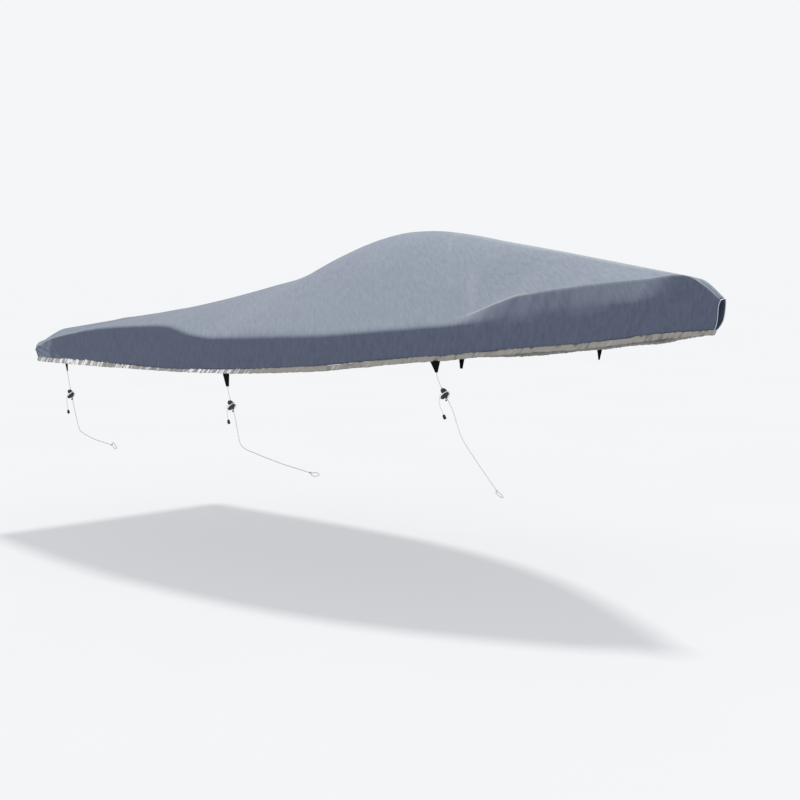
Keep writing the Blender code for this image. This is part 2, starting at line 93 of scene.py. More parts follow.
def softField(seed, rows, columns, sizes):
    # the same in two directions, for a field of that many rows and columns
    field = np.random.default_rng(seed).normal(size=(rows, columns))
    for axis, size in enumerate(sizes):
        bell = np.exp(-np.linspace(-2.5, 2.5, 5 * size) ** 2)
        bell /= np.sqrt(np.sum(bell ** 2))
        field = np.apply_along_axis(lambda line: np.convolve(line, bell, "same"), axis, field)
    return field / max(np.std(field), 1e-9)


# Putting a shape into the scene.

def faceOutwards(mesh):
    # turns a closed surface's faces outwards, and leaves an open sheet as it was made
    work = bmesh.new()
    work.from_mesh(mesh)
    if all(len(edge.link_faces) == 2 for edge in work.edges):
        bmesh.ops.recalc_face_normals(work, faces=work.faces)
        work.to_mesh(mesh)
    work.free()


def newPiece(name, points, faces, material):
    mesh = bpy.data.meshes.new(name)
    mesh.from_pydata(points.reshape(-1, 3).tolist(), [], faces)
    mesh.materials.append(material)
    mesh.update()
    faceOutwards(mesh)
    mesh.shade_smooth()
    piece = bpy.data.objects.new(name, mesh)
    bpy.context.scene.collection.objects.link(piece)
    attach(piece, "root")
    return piece


def gridFaces(columns, rows, closedRows=False, closedColumns=False):
    # four corners for each square of a grid, columns first
    c = np.arange(columns if closedColumns else columns - 1)[:, None]
    r = np.arange(rows if closedRows else rows - 1)[None, :]
    nextC = (c + 1) % columns
    nextR = (r + 1) % rows
    quads = np.stack((c * rows + r, c * rows + nextR, nextC * rows + nextR, nextC * rows + r), -1)
    return quads.reshape(-1, 4)


def endFaces(rings, sides):
    # the flat faces that close a tube's first and last rings
    last = (rings - 1) * sides
    return [list(range(sides)), list(range(last + sides - 1, last - 1, -1))]


def setAttribute(piece, name, values):
    # a number or three for each point, which a material reads by name
    values = np.asarray(values, np.float32)
    kind = "FLOAT" if values.ndim == 1 else "FLOAT_VECTOR"
    layer = piece.data.attributes.new(name, kind, "POINT")
    layer.data.foreach_set("value" if values.ndim == 1 else "vector", values.ravel())


def turningFrames(points):
    # at each point of a route, two directions square to it that turn as little as they can
    ahead = np.gradient(points, axis=0)
    ahead /= np.linalg.norm(ahead, axis=1)[:, None]
    side = np.cross(ahead[0], (0.0, 0.0, 1.0))
    if np.linalg.norm(side) < 0.1:
        side = np.cross(ahead[0], (0.0, 1.0, 0.0))
    sides = []
    for way in ahead:
        side = side - way * np.dot(side, way)
        side = side / np.linalg.norm(side)
        sides.append(side)
    sides = np.array(sides)
    return sides, np.cross(ahead, sides)


def tubeAlong(points, radii, closed=False):
    # rings square to a route: centre + radius x (cos a x one side + sin a x the other), with
    # a radius for each point of each ring, and a flat end at either side of an open tube
    one, other = turningFrames(points)
    count, sides = radii.shape
    turn = np.linspace(0, 2 * math.pi, sides, endpoint=False)
    ring = (points[:, None] + radii[..., None] * (np.cos(turn)[None, :, None] * one[:, None]
            + np.sin(turn)[None, :, None] * other[:, None]))
    faces = gridFaces(count, sides, closedRows=True, closedColumns=closed)[:, ::-1].tolist()
    return ring, faces if closed else faces + endFaces(count, sides)


# Materials.

def newMaterial(name, roughness, **sockets):
    material = bpy.data.materials.new(name)
    material.use_nodes = True
    shader = material.node_tree.nodes["Principled BSDF"]
    shader.inputs["Roughness"].default_value = roughness
    for socket, value in sockets.items():
        shader.inputs[socket.replace("_", " ")].default_value = value
    return material, material.node_tree, shader


def addNode(tree, kind, settings=None, **links):
    # settings are the node's own, and links its sockets: a number, a colour or a socket
    node = tree.nodes.new("ShaderNode" + kind)
    for key, value in (settings or {}).items():
        setattr(node, key, value)
    for key, value in links.items():
        socket = node.inputs[int(key[1:])] if key[0] == "i" and key[1:].isdigit() else \
            node.inputs[key.replace("_", " ")]
        if isinstance(value, bpy.types.NodeSocket):
            tree.links.new(value, socket)
        else:
            socket.default_value = value
    return node


def mixColours(tree, share, one, other):
    node = addNode(tree, "Mix", {"data_type": "RGBA", "clamp_factor": True}, i0=share, i6=one,
                   i7=other)
    return node.outputs[2]


def remap(tree, value, low, high, lowTo=0.0, highTo=1.0):
    node = addNode(tree, "MapRange", {"clamp": True}, i0=value, i1=low, i2=high, i3=lowTo,
                   i4=highTo)
    return node.outputs[0]


def stretched(tree, source, scale):
    return addNode(tree, "Mapping", i0=source, Scale=scale).outputs[0]


def attributeNode(tree, name):
    return addNode(tree, "Attribute", {"attribute_name": name})


def noiseFrom(tree, place, stretch, detail, **more):
    # noise on a place that is drawn out by a number each way
    return addNode(tree, "TexNoise", Vector=stretched(tree, place, stretch), Scale=1.0,
                   Detail=detail, **more).outputs[0]


def heaped(tree, one, share, other):
    # one height times its share, plus another
    return addNode(tree, "Math", {"operation": "MULTIPLY_ADD"}, i0=one, i1=share,
                   i2=other).outputs[0]


def dressSurface(tree, shader, tone, height, strength, distance):
    # the shader's colour, and a height in metres as its bump
    bump = addNode(tree, "Bump", Strength=strength, Distance=distance, Height=height)
    tree.links.new(tone, shader.inputs["Base Color"])
    tree.links.new(bump.outputs[0], shader.inputs["Normal"])


canvasLook = dict(
    light=(0.116, 0.135, 0.193, 1.0), dark=(0.074, 0.089, 0.135, 1.0),
    litTone=(0.180, 0.209, 0.278, 1.0), shadedTone=(0.038, 0.048, 0.076, 1.0),
    highlit=(0.27, 0.30, 0.32, 1.0), slub=(150.0, 26.0), brushed=(52.0, 13.0),
    cloud=(5.0, 4.0), thread=(620.0, 520.0), bump=0.0005)


def canvasMaterial():
    # heathered weave: short slubs up the cloth, cross threads, and cloudy patches
    material, tree, shader = newMaterial("blue_grey_canvas", 0.88, Sheen_Weight=0.04,
                                         Sheen_Roughness=0.5, Specular_IOR_Level=0.2)
    weave = attributeNode(tree, "weave").outputs["Vector"]
    paintedHighlight, paintedLight, paintedShade = (attributeNode(tree, name).outputs["Fac"]
                        for name in ("paintedHighlight", "paintedLight", "paintedShade"))
    look = canvasLook
    slub, brushed, cloud, thread = (
        noiseFrom(tree, weave, (*look[size], 1.0), detail, Roughness=0.6)
        for size, detail in (("slub", 3.0), ("brushed", 2.0), ("cloud", 2.0), ("thread", 1.0)))
    tone = mixColours(tree, remap(tree, slub, 0.28, 0.72), look["dark"], look["light"])
    tone = mixColours(tree, 0.42, tone, mixColours(
        tree, remap(tree, brushed, 0.36, 0.64), look["dark"], look["light"]))
    tone = mixColours(tree, remap(tree, cloud, 0.3, 0.7, 0.0, 0.2), tone, look["light"])
    # painted shade: darker where the top lies flat aft
    tone = mixColours(tree, paintedShade, tone, look["shadedTone"])
    # painted light: paler on the top's steep flanks, round the stern's corner and in the strip
    # below the bow's rail
    tone = mixColours(tree, paintedLight, tone, look["litTone"])
    # painted highlight along the rail's crease, beside the ridge and on the folds' crests
    tone = mixColours(tree, paintedHighlight, tone, look["highlit"])
    dressSurface(tree, shader, tone, heaped(tree, slub, 0.7, thread), 0.3, look["bump"])
    return material


casingLook = dict(
    beige=(0.325, 0.315, 0.285, 1.0), shade=(0.135, 0.130, 0.115, 1.0),
    white=(0.95, 0.95, 0.96, 1.0), grain=(130.0, 60.0))


def casingMaterial():
    # light cloth, with painted shade down in its gathers and along its foot, and painted white
    # highlights where it is drawn smooth
    material, tree, shader = newMaterial("light_casing", 0.42, Specular_IOR_Level=0.5)
    place = attributeNode(tree, "weave").outputs["Vector"]
    glossHighlight, depth = (attributeNode(tree, name).outputs["Fac"] for name in ("glossHighlight", "gatherShade"))
    look = casingLook
    grain = noiseFrom(tree, place, (*look["grain"], 1.0), 3.0, Roughness=0.6)
    tone = mixColours(tree, remap(tree, grain, 0.3, 0.7, 0.0, 0.3), look["beige"],
                      look["shade"])
    # painted white highlights, by station and in leaning slashes
    tone = mixColours(tree, glossHighlight, tone, look["white"])
    # painted shade, darker in the gathers and along the casing's foot
    tone = mixColours(tree, remap(tree, depth, 0.35, 1.0, 0.0, 0.8), tone, look["shade"])
    dressSurface(tree, shader, tone, grain, 0.4, 0.0008)
    return material


tapeFinish = dict(low=(0.40, 0.44, 0.51, 1.0), high=(0.56, 0.60, 0.67, 1.0), ribs=900.0)


def tapeMaterial():
    # fine ribs, with painted highlights on their tops and painted shade between them
    material, tree, shader = newMaterial("pale_tape", 0.62, Sheen_Weight=0.08)
    look = tapeFinish
    place = addNode(tree, "TexCoord").outputs["Object"]
    ribs = addNode(tree, "TexNoise", Vector=place, Scale=look["ribs"], Detail=1.0).outputs[0]
    # painted shade between the ribs, paler on their tops
    tone = mixColours(tree, remap(tree, ribs, 0.3, 0.7), look["low"], look["high"])
    dressSurface(tree, shader, tone, ribs, 0.3, 0.0004)
    return material


webbingFinish = dict(low=(0.0022, 0.0026, 0.0024, 1.0), high=(0.0065, 0.0072, 0.0068, 1.0),
                     ribs=90.0, twill=(900.0, 500.0, 1.0))


def webbingMaterial():
    # ribs across the strap, with a fine twill between them
    material, tree, shader = newMaterial("black_webbing", 0.9, Specular_IOR_Level=0.06)
    look = webbingFinish
    place = attributeNode(tree, "weave").outputs["Vector"]
    ribs = addNode(tree, "TexWave", {"wave_type": "BANDS", "bands_direction": "Y"},
                   Vector=place, Scale=look["ribs"], Distortion=0.6, Detail=1.0).outputs[1]
    twill = noiseFrom(tree, place, look["twill"], 2.0)
    tone = mixColours(tree, remap(tree, twill, 0.3, 0.7), look["low"], look["high"])
    dressSurface(tree, shader, tone, heaped(tree, ribs, 0.8, twill), 0.5, 0.0005)
    return material


cordFinish = dict(grooveShade=(0.70, 0.69, 0.66, 1.0), crest=(0.90, 0.90, 0.87, 1.0),
                  dirty=(0.62, 0.61, 0.56, 1.0), patches=(0.4, 0.15, 1.0))


def cordMaterial():
    # plaited strands: two sets of bands that cross, from distance along and turn
    material, tree, shader = newMaterial("white_cord", 0.68, Sheen_Weight=0.10)
    look = cordFinish
    place = attributeNode(tree, "weave").outputs["Vector"]
    one, other = (addNode(tree, "TexWave", {"wave_type": "BANDS", "bands_direction": "DIAGONAL"},
                          Vector=stretched(tree, place, (lean, 1.0, 0.0)), Scale=1.0).outputs[1]
                  for lean in (1.0, -1.0))
    height = addNode(tree, "Math", {"operation": "MAXIMUM"}, i0=one, i1=other).outputs[0]
    dirt = noiseFrom(tree, place, look["patches"], 3.0)
    # painted shade: the cord darker in the grooves between its strands, paler on their crests
    tone = mixColours(tree, remap(tree, height, 0.2, 0.9), look["grooveShade"], look["crest"])
    tone = mixColours(tree, remap(tree, dirt, 0.45, 0.75, 0.0, 0.3), tone, look["dirty"])
    dressSurface(tree, shader, tone, height, 0.6, 0.0006)
    return material


def plasticMaterial(name, low, high, roughness):
    # moulded plastic: a fine grain and a slightly uneven gloss
    material, tree, shader = newMaterial(name, roughness, Coat_Weight=0.04,
                                         Specular_IOR_Level=0.28)
    place = addNode(tree, "TexCoord").outputs["Object"]
    grain = addNode(tree, "TexNoise", Vector=place, Scale=900.0, Detail=2.0).outputs[0]
    patch = addNode(tree, "TexNoise", Vector=place, Scale=60.0, Detail=2.0).outputs[0]
    tone = mixColours(tree, remap(tree, patch, 0.35, 0.65), low, high)
    tree.links.new(remap(tree, patch, 0.3, 0.7, roughness - 0.06, roughness + 0.08),
                   shader.inputs["Roughness"])
    dressSurface(tree, shader, tone, grain, 0.15, 0.0003)
    return material


# Camera.

cameraView = dict(place=(6.1185, -6.2095, -0.136), tilt=84.4786, heading=45.8, lens=67.5)


def makeCamera():
    data = bpy.data.cameras.new("camera")
    data.sensor_width = 36.0
    data.lens = cameraView["lens"]
    camera = bpy.data.objects.new("camera", data)
    camera.location = cameraView["place"]
    camera.rotation_euler = (math.radians(cameraView["tilt"]), 0.0,
                             math.radians(cameraView["heading"]))
    bpy.context.scene.collection.objects.link(camera)
    bpy.context.scene.camera = camera


makeCamera()
print("camera set")


# Tie-down cords.

# A route starts at its tab's tip, as station, side and level, and goes on by the bend at
# the chine to the trailer. A cleat's seat is how far down the cord its top is, and how far
# forward of the cord that top's middle lies; the tail ends across and down from there.
ties = dict(
    stern=dict(route=((0.3007, -0.9189, 1.0900), (0.3010, -0.9169, 1.0706),
                      (0.335, -0.905, 0.900), (0.372, -0.880, 0.705), (0.345, -0.845, 0.683),
                      (0.254, -0.700, 0.619), (0.158, -0.500, 0.552)),
               seat=(0.123, -0.003), tailEnd=(-0.010, -0.133)),
    middle=dict(route=((2.0776, -0.9688, 1.1025), (2.0784, -0.9668, 1.0831),
                       (2.085, -0.925, 0.930), (2.085, -0.885, 0.765), (2.070, -0.855, 0.742),
                       (1.993, -0.700, 0.684), (1.971, -0.500, 0.606), (2.009, -0.300, 0.532)),
                seat=(0.080, -0.002), tailEnd=(-0.014, -0.115)),
    forward=dict(route=((3.4571, -0.6730, 1.2434), (3.4579, -0.6706, 1.2241),
                        (3.500, -0.600, 1.050), (3.518, -0.556, 0.915), (3.515, -0.530, 0.880),
                        (3.490, -0.410, 0.766), (3.452, -0.200, 0.575)),
                 seat=(0.085, 0.008), tailEnd=(0.002, -0.141)))
cordLook = dict(radius=0.0025, tailRadius=0.002, step=0.0025, strandPitch=0.011, strands=8,
                proud=0.07, sides=12, gap=0.0005)
knotLook = dict(radius=0.0085, points=90, strand=0.0023, fat=1.9, loopRadius=0.024,
                loopPoints=96)

# The cleat's outline runs clockwise, across and up from its top as it is seen from outside.
# Its rim is how far each ring is drawn in and how far out of the plate's middle it lies.
cleatLook = dict(
    thick=0.009, face=40.0, length=0.069, bevel=0.0018,
    rim=((1.0, -1.0), (0.35, -0.88), (0.0, -0.62), (0.0, 0.62), (0.35, 0.88), (1.0, 1.0)),
    outline=((-0.0042, 0.0000), (0.0074, 0.0000), (0.0160, -0.0075), (0.0297, -0.0245),
             (0.0314, -0.0319), (0.0232, -0.0420), (0.0227, -0.0542), (0.0202, -0.0690),
             (0.0107, -0.0680), (0.0100, -0.0605), (0.0150, -0.0470), (0.0042, -0.0584),
             (-0.0117, -0.0574), (-0.0143, -0.0488), (-0.0074, -0.0362), (0.0138, -0.0225),
             (0.0107, -0.0191), (-0.0042, -0.0276), (-0.0117, -0.0212), (-0.0138, -0.0117),
             (-0.0112, -0.0032)),
    tail=((-0.0170, -0.0360), (-0.0170, -0.0520), (-0.0185, -0.0850)),
    wrapRadius=0.0022,
    wrap=((-0.0165, -0.0345, 0.0008), (-0.0105, -0.0305, 0.0022), (0.0000, -0.0262, 0.0046),
          (0.0095, -0.0205, 0.0068), (0.0200, -0.0150, 0.0070), (0.0300, -0.0190, 0.0060),
          (0.0345, -0.0285, 0.0030), (0.0325, -0.0375, 0.0020), (0.0262, -0.0480, 0.0045),
          (0.0180, -0.0560, 0.0068), (0.0105, -0.0625, 0.0050)))
beadLook = dict(
    sides=32,
    profile=((0.0026, 0.0), (0.0036, 0.0003), (0.0056, 0.0010), (0.0066, 0.0028),
             (0.0074, 0.0065), (0.0079, 0.0110), (0.0082, 0.0160), (0.0082, 0.0205),
             (0.0078, 0.0228), (0.0068, 0.0244), (0.0050, 0.0250)))


def addCordPiece(name, points, radius, material, closed=False):
    # a round cord whose strands stand a little proud: two spirals that cross
    look = cordLook
    run = runLength(points)
    turn = np.linspace(0, 2 * math.pi, look["sides"], endpoint=False)
    spiral = 2 * math.pi * run[:, None] / look["strandPitch"]
    plait = np.maximum(np.cos(2 * turn + spiral), np.cos(2 * turn - spiral))
    ring, faces = tubeAlong(points, radius + look["proud"] * radius * (plait - 0.6), closed)
    piece = newPiece(name, ring, faces, material)
    along = np.repeat(run * 2 * math.pi / look["strandPitch"], look["sides"])
    around = np.tile(turn * look["strands"] / 2, len(points))
    setAttribute(piece, "weave", np.column_stack((around, along, np.zeros(len(along)))))
    return piece


def cleatFrame(seat, points):
    # at the cleat's top: +Z out of its face, +Y up, and the cord behind it
    run = runLength(points)
    top, foot = (Vector([np.interp(where, run, points[:, axis]) for axis in range(3)])
                 for where in (seat[0], seat[0] + cleatLook["length"]))
    down = (foot - top).normalized()
    turn = math.radians(cleatLook["face"])
    face = Vector((math.sin(turn), -math.cos(turn), 0.0))
    face = (face - face.dot(down) * down).normalized()
    up = (Vector((0, 0, 1)) - face.z * face).normalized()
    across = up.cross(face)
    place = Matrix((across, up, face)).transposed().to_4x4()
    stand = cordLook["radius"] + cleatLook["thick"] / 2 + cordLook["gap"]
    place.translation = top + stand * face + seat[1] * across
    return place


def inPlace(place, points):
    # points in a frame of their own, put where that frame is
    turn = np.array(place.to_3x3())
    return np.asarray(points, float) @ turn.T + np.array(place.translation)


def roundedOutline(corners, times):
    # each corner is cut twice, at a quarter of its sides, and then again
    points = np.array(corners, float)
    for _ in range(times):
        ahead = np.roll(points, -1, axis=0)
        points = np.stack((0.75 * points + 0.25 * ahead, 0.25 * points + 0.75 * ahead), 1)
        points = points.reshape(-1, 2)
    return points


def makeCleat(name, place, material):
    # a flat plate of the rounded outline, its rim turned over in three steps on each face
    look = cleatLook
    line = roundedOutline(look["outline"], 2)
    count = len(line)
    ahead = np.roll(line, -1, axis=0) - np.roll(line, 1, axis=0)
    inward = np.column_stack((ahead[:, 1], -ahead[:, 0]))
    inward /= np.linalg.norm(inward, axis=1)[:, None]
    rings = [np.column_stack((line + look["bevel"] * draw * inward,
                              np.full(count, rise * look["thick"] / 2)))
             for draw, rise in look["rim"]]
    faces = gridFaces(len(rings), count, closedRows=True).tolist() + endFaces(len(rings), count)
    return newPiece("moulded_cleat_" + name, inPlace(place, np.concatenate(rings)), faces,
                    material)


def makeBead(name, tail, material):
    # a profile turned about the tail's own direction
    sides = beadLook["sides"]
    way = Vector(tail[-1] - tail[-2]).normalized()
    turn = np.linspace(0, 2 * math.pi, sides, endpoint=False)
    profile = np.array(beadLook["profile"])
    ring = np.stack((profile[:, :1] * np.cos(turn), profile[:, :1] * np.sin(turn),
                     np.broadcast_to(profile[:, 1:], (len(profile), sides))), -1)
    place = way.to_track_quat("Z", "Y").to_matrix().to_4x4()
    place.translation = Vector(tail[-1]) + cordLook["gap"] * way
    faces = gridFaces(len(profile), sides, closedRows=True).tolist()
    faces += [face[::-1] for face in endFaces(len(profile), sides)]
    return newPiece("cord_end_bead_" + name, inPlace(place, ring.reshape(-1, 3)), faces,
                    material)


def makeKnot(name, end, way, material):
    # a three-leaved knot: ((2 + cos 3t) cos 2t, (2 + cos 3t) sin 2t, sin 3t)
    look = knotLook
    t = np.linspace(0, 2 * math.pi, look["points"], endpoint=False)
    size = (look["radius"] - look["strand"]) / 3.0
    line = size * np.column_stack(((2 + np.cos(3 * t)) * np.cos(2 * t),
                                   (2 + np.cos(3 * t)) * np.sin(2 * t),
                                   look["fat"] * np.sin(3 * t)))
    place = Vector(way).to_track_quat("X", "Z").to_matrix().to_4x4()
    place.translation = Vector(end) + (look["radius"] + cordLook["gap"]) * Vector(way)
    return addCordPiece("knotted_end_" + name, inPlace(place, line), look["strand"], material,
                        closed=True)


def makeLoop(name, end, way, material):
    # a ring of cord below the knot: centre + radius x (cos a along + sin a aside)
    look = knotLook
    reach = 2 * look["radius"] + 2 * cordLook["gap"] + cordLook["radius"] + look["loopRadius"]
    centre = end + reach * way
    aside = np.cross(way, (0.0, 1.0, 0.0))
    aside /= np.linalg.norm(aside)
    a = np.linspace(0, 2 * math.pi, look["loopPoints"], endpoint=False)[:, None]
    line = centre + look["loopRadius"] * (np.cos(a) * way + np.sin(a) * aside)
    return addCordPiece("end_loop_" + name, line, cordLook["radius"], material, closed=True)


def makeTie(name, tie, materials):
    points = smoothRoute(np.array(tie["route"]) - origin, cordLook["step"])
    cord = addCordPiece("tie_cord_" + name, points, cordLook["radius"], materials["cord"])
    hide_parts("cord_" + name)
    place = cleatFrame(tie["seat"], points)
    cleat = makeCleat(name, place, materials["cleat"])
    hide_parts("cleat_" + name)
    flat = cleatLook["tail"] + (tie["tailEnd"],)
    route = inPlace(place, [(across, up, 0.0) for across, up in flat])
    tailPoints = smoothRoute(route, cordLook["step"])
    tail = addCordPiece("cord_tail_" + name, tailPoints, cordLook["tailRadius"],
                        materials["cord"])
    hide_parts("tail_" + name)
    bead = makeBead(name, tailPoints, materials["bead"])
    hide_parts("bead_" + name)
    wrap = addCordPiece("cord_wrap_" + name, smoothRoute(inPlace(place, cleatLook["wrap"]),
                        cordLook["step"]), cleatLook["wrapRadius"], materials["cord"])
    way = points[-1] - points[-2]
    way /= np.linalg.norm(way)
    knot = makeKnot(name, points[-1], way, materials["cord"])
    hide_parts("knot_" + name)
    loop = makeLoop(name, points[-1], way, materials["cord"])
    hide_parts("loop_" + name)


finishes = dict(cord=cordMaterial(),
                cleat=plasticMaterial("dark_plastic", (0.024, 0.025, 0.022, 1.0),
                                      (0.042, 0.043, 0.040, 1.0), 0.50),
                bead=plasticMaterial("black_plastic", (0.006, 0.006, 0.006, 1.0),
                                     (0.012, 0.012, 0.012, 1.0), 0.46))
for tieName, oneTie in ties.items():
    makeTie(tieName, oneTie, finishes)
print("cords, cleats, beads and knots made")


# Cloth.

# Sections from stern to bow; how much lower the port rail is at a station; the gunwale's
# level across the stern; and the folds of a stern corner: where each meets the hem and the
# gunwale, as shares of the corner's turn, how deep it is and half its width.
clothShape = dict(
    names=("station", "beam", "edge", "gunwale", "ridge", "lift", "inset"),
    sections=(
        (-0.15, 0.932, 1.168, 1.205, 1.416, 0.000, 0.052),
        (0.10, 0.944, 1.168, 1.297, 1.424, 0.000, 0.052),
        (0.35, 0.962, 1.170, 1.342, 1.456, 0.000, 0.052),
        (0.80, 0.992, 1.174, 1.399, 1.530, 0.000, 0.052),
        (1.25, 1.012, 1.174, 1.429, 1.612, 0.000, 0.052),
        (1.58, 1.019, 1.178, 1.435, 1.684, 0.000, 0.052),
        (1.78, 1.020, 1.187, 1.396, 1.732, 0.000, 0.052),
        (1.95, 1.017, 1.194, 1.381, 1.790, 0.000, 0.052),
        (2.15, 1.005, 1.204, 1.388, 1.878, 0.000, 0.052),
        (2.45, 0.972, 1.226, 1.401, 1.965, 0.000, 0.052),
        (2.76, 0.920, 1.251, 1.415, 1.988, 0.000, 0.052),
        (3.05, 0.852, 1.284, 1.441, 1.967, 0.000, 0.052),
        (3.35, 0.758, 1.318, 1.470, 1.923, 0.000, 0.052),
        (3.58, 0.665, 1.340, 1.495, 1.891, 0.002, 0.052),
        (3.74, 0.590, 1.362, 1.510, 1.868, 0.054, 0.056),
        (3.84, 0.5418, 1.3735, 1.5241, 1.8531, 0.0795, 0.0594),
        (3.92, 0.502, 1.382, 1.537, 1.841, 0.080, 0.062),
        (4.15, 0.380, 1.406, 1.578, 1.806, 0.073, 0.066),
        (4.38, 0.252, 1.445, 1.616, 1.771, 0.050, 0.085),
        (4.55, 0.152, 1.470, 1.646, 1.744, 0.024, 0.108),
        (4.64, 0.098, 1.478, 1.640, 1.722, 0.008, 0.062),
        (4.735, 0.036, 1.484, 1.606, 1.640, 0.012, 0.015)),
    portLower=((4.38, 0.0), (4.46, 0.024), (4.55, 0.036), (4.64, 0.014), (4.735, 0.0)),
    sternEdge=((0.00, 1.416), (0.20, 1.408), (0.40, 1.373), (0.60, 1.350), (0.70, 1.340),
               (0.94, 1.200)),
    folds=((0.06, 0.36, 0.009, 0.16), (0.40, 0.70, 0.008, 0.15), (0.74, 0.98, 0.007, 0.15)),
    stern=-0.15, bow=4.735, radius=0.11, dip=0.012, cornerLift=0.012, tuck=0.034,
    hullSide=0.93, cornerEase=0.75, cornerWide=0.17, flare=1.6, noseFlare=2.6, noseLong=0.2,
    noseFoot=0.010, noseRake=0.026, noseReach=0.016, ridgeRound=0.22, fanSide=0.75,
    fanCorner=(0.60, 0.50), fanMiddle=0.30, thick=0.002)

# How finely the cloth is divided. Each rounding draws a row towards the mean of its
# neighbours, by soft, and less near the rail's crease, by crisp. The weave slants on the
# top, and each side has its own part of the pattern.
clothGrid = dict(bowPitch=0.0095, bowStart=3.5, pitch=0.0165, cornerSteps=26, sternSteps=30,
                 skirtRows=20, edgeShares=(0.25, 0.50, 0.75, 0.93, 1.0), creaseShare=0.007,
                 topRows=27, rounding=8, nearRail=1.8, soft=((3.40, 0.5), (3.62, 0.34)),
                 crisp=((3.40, 0.0), (3.66, 0.94)),
                 straight=((4.40, 0.0), (4.54, 1.0), (4.64, 1.0), (4.735, 0.25)),
                 skirtPower=0.85, topPower=1.1, slant=1.03, apart=3.0)


def sectionAt(name, where):
    return smoothTable(clothShape["names"], clothShape["sections"], name, where)


def noseShare(x):
    # 0 aft of the nose to 1 at the notch, by the square of the way along it
    shape = clothShape
    return np.clip((x - shape["bow"] + shape["noseLong"]) / shape["noseLong"], 0, 1) ** 2


def clothColumns():
    # the gunwale's edge in plan, from the notch round to the middle of the stern: each
    # column's place, outward direction, levels, and where it meets the ridge
    shape, grid = clothShape, clothGrid
    turnAt = shape["stern"] + shape["radius"]
    bow = np.arange(shape["bow"], grid["bowStart"], -grid["bowPitch"])
    steps = int(round((bow[-1] - turnAt) / grid["pitch"]))
    x = np.concatenate((bow, np.linspace(bow[-1], turnAt, steps + 1)[1:]))
    beam = sectionAt("beam", x)
    slope = (sectionAt("beam", x + 0.005) - sectionAt("beam", x - 0.005)) / 0.01
    long = np.hypot(slope, 1.0)
    outX, outY = -slope / long, -1.0 / long
    fan = (np.minimum(x, shape["fanSide"]) - turnAt) / (shape["fanSide"] - turnAt)
    corner, middle = shape["fanCorner"]
    meet = np.where(x > shape["fanSide"], x, corner + fan * (shape["fanSide"] - corner))
    side = dict(x=x, y=-beam, outX=outX, outY=outY, edge=sectionAt("edge", x),
                gunwale=sectionAt("gunwale", x), meet=meet, lift=sectionAt("lift", x),
                inset=sectionAt("inset", x), corner=np.full(len(x), -1.0))

    share = np.arange(1, grid["cornerSteps"] + 1) / grid["cornerSteps"]
    angle = share * math.pi / 2
    half = beam[-1]
    endLevel = smoothTable(("side", "level"), shape["sternEdge"], "level",
                           half - shape["radius"])
    level = side["gunwale"][-1] + share * (endLevel - side["gunwale"][-1])
    turn = dict(x=turnAt - shape["radius"] * np.sin(angle),
                y=shape["radius"] - half - shape["radius"] * np.cos(angle),
                outX=-np.sin(angle), outY=-np.cos(angle),
                edge=np.full(len(share), side["edge"][-1]),
                gunwale=level - shape["dip"] * np.sin(math.pi * share),
                meet=corner + share * (middle - corner),
                lift=shape["cornerLift"] * np.sin(math.pi * share),
                inset=np.full(len(share), side["inset"][-1]), corner=share)

    share = np.arange(1, grid["sternSteps"] + 1) / grid["sternSteps"]
    y = turn["y"][-1] * (1 - share)
    ones = np.ones(len(share))
    stern = dict(x=shape["stern"] * ones, y=y, outX=-ones, outY=0 * ones,
                 edge=turn["edge"][-1] * ones,
                 gunwale=smoothTable(("side", "level"), shape["sternEdge"], "level", -y),
                 meet=middle + share * (shape["fanMiddle"] - middle), lift=0 * ones,
                 inset=turn["inset"][-1] * ones, corner=-ones)
    return {key: np.concatenate((side[key], turn[key], stern[key])) for key in side}


def skirtPoints(column, height):
    # out from the hem, which is tucked in, by a power of the height, less what the corner's
    # folds press in: -tuck x (1 - height) to the flare
    shape = clothShape
    nose = noseShare(column["x"])
    fold = 0.0
    for hem, top, depth, half in shape["folds"]:
        near = (column["corner"] - hem - height * (top - hem)) / half
        fold = fold + depth * np.exp(-near ** 2) * (column["corner"] >= 0)
    fromCorner = np.hypot(column["x"] - shape["stern"], np.abs(column["y"]) - shape["hullSide"])
    near = np.exp(-(fromCorner / shape["cornerWide"]) ** 2)
    tuck = shape["tuck"] * (1 - shape["cornerEase"] * near) * (1 - nose)
    tuck = tuck + nose * (np.abs(column["y"]) - shape["noseFoot"])
    flare = shape["flare"]
    push = -tuck * (1 - height) ** (flare + flare * nose) - fold
    rake = shape["noseRake"] * nose * (1 - height) ** (flare + shape["noseFlare"] * nose)
    return np.stack((column["x"] + push * column["outX"] - rake,
                     column["y"] + push * column["outY"],
                     column["edge"] + height * (column["gunwale"] - column["edge"])), -1)


def ridgeRise(share):
    # 0 at the gunwale to 1 on the ridge: a straight slope that rounds over
    soft = clothShape["ridgeRound"]
    fall = np.hypot(1 - share, soft) - soft
    return 1 - fall / (math.hypot(1, soft) - soft)


def topPoints(column, edgeShares, shares):
    # from the gunwale to the rail's crease, then across to the ridge
    nose = noseShare(column["x"])
    start = np.stack((column["x"], column["y"], column["gunwale"]), -1)[:, None]
    end = np.stack((column["meet"] + clothShape["noseReach"] * nose, 0 * column["x"],
                    sectionAt("ridge", column["meet"])), -1)[:, None]
    span = np.hypot(end[..., 0] - start[..., 0], end[..., 1] - start[..., 1])
    railShare = column["inset"][:, None] / span
    rail = start + railShare[..., None] * (end - start)
    rail[..., 2] = (start[..., 2] + ridgeRise(railShare) * (end[..., 2] - start[..., 2])
                    + column["lift"][:, None])
    edge = start + edgeShares[None, :, None] * (rail - start)
    top = rail + shares[None, :, None] * (end - rail)
    top[..., 2] = rail[..., 2] + ridgeRise(shares)[None] * (end[..., 2] - rail[..., 2])
    return np.concatenate((edge, top), 1)


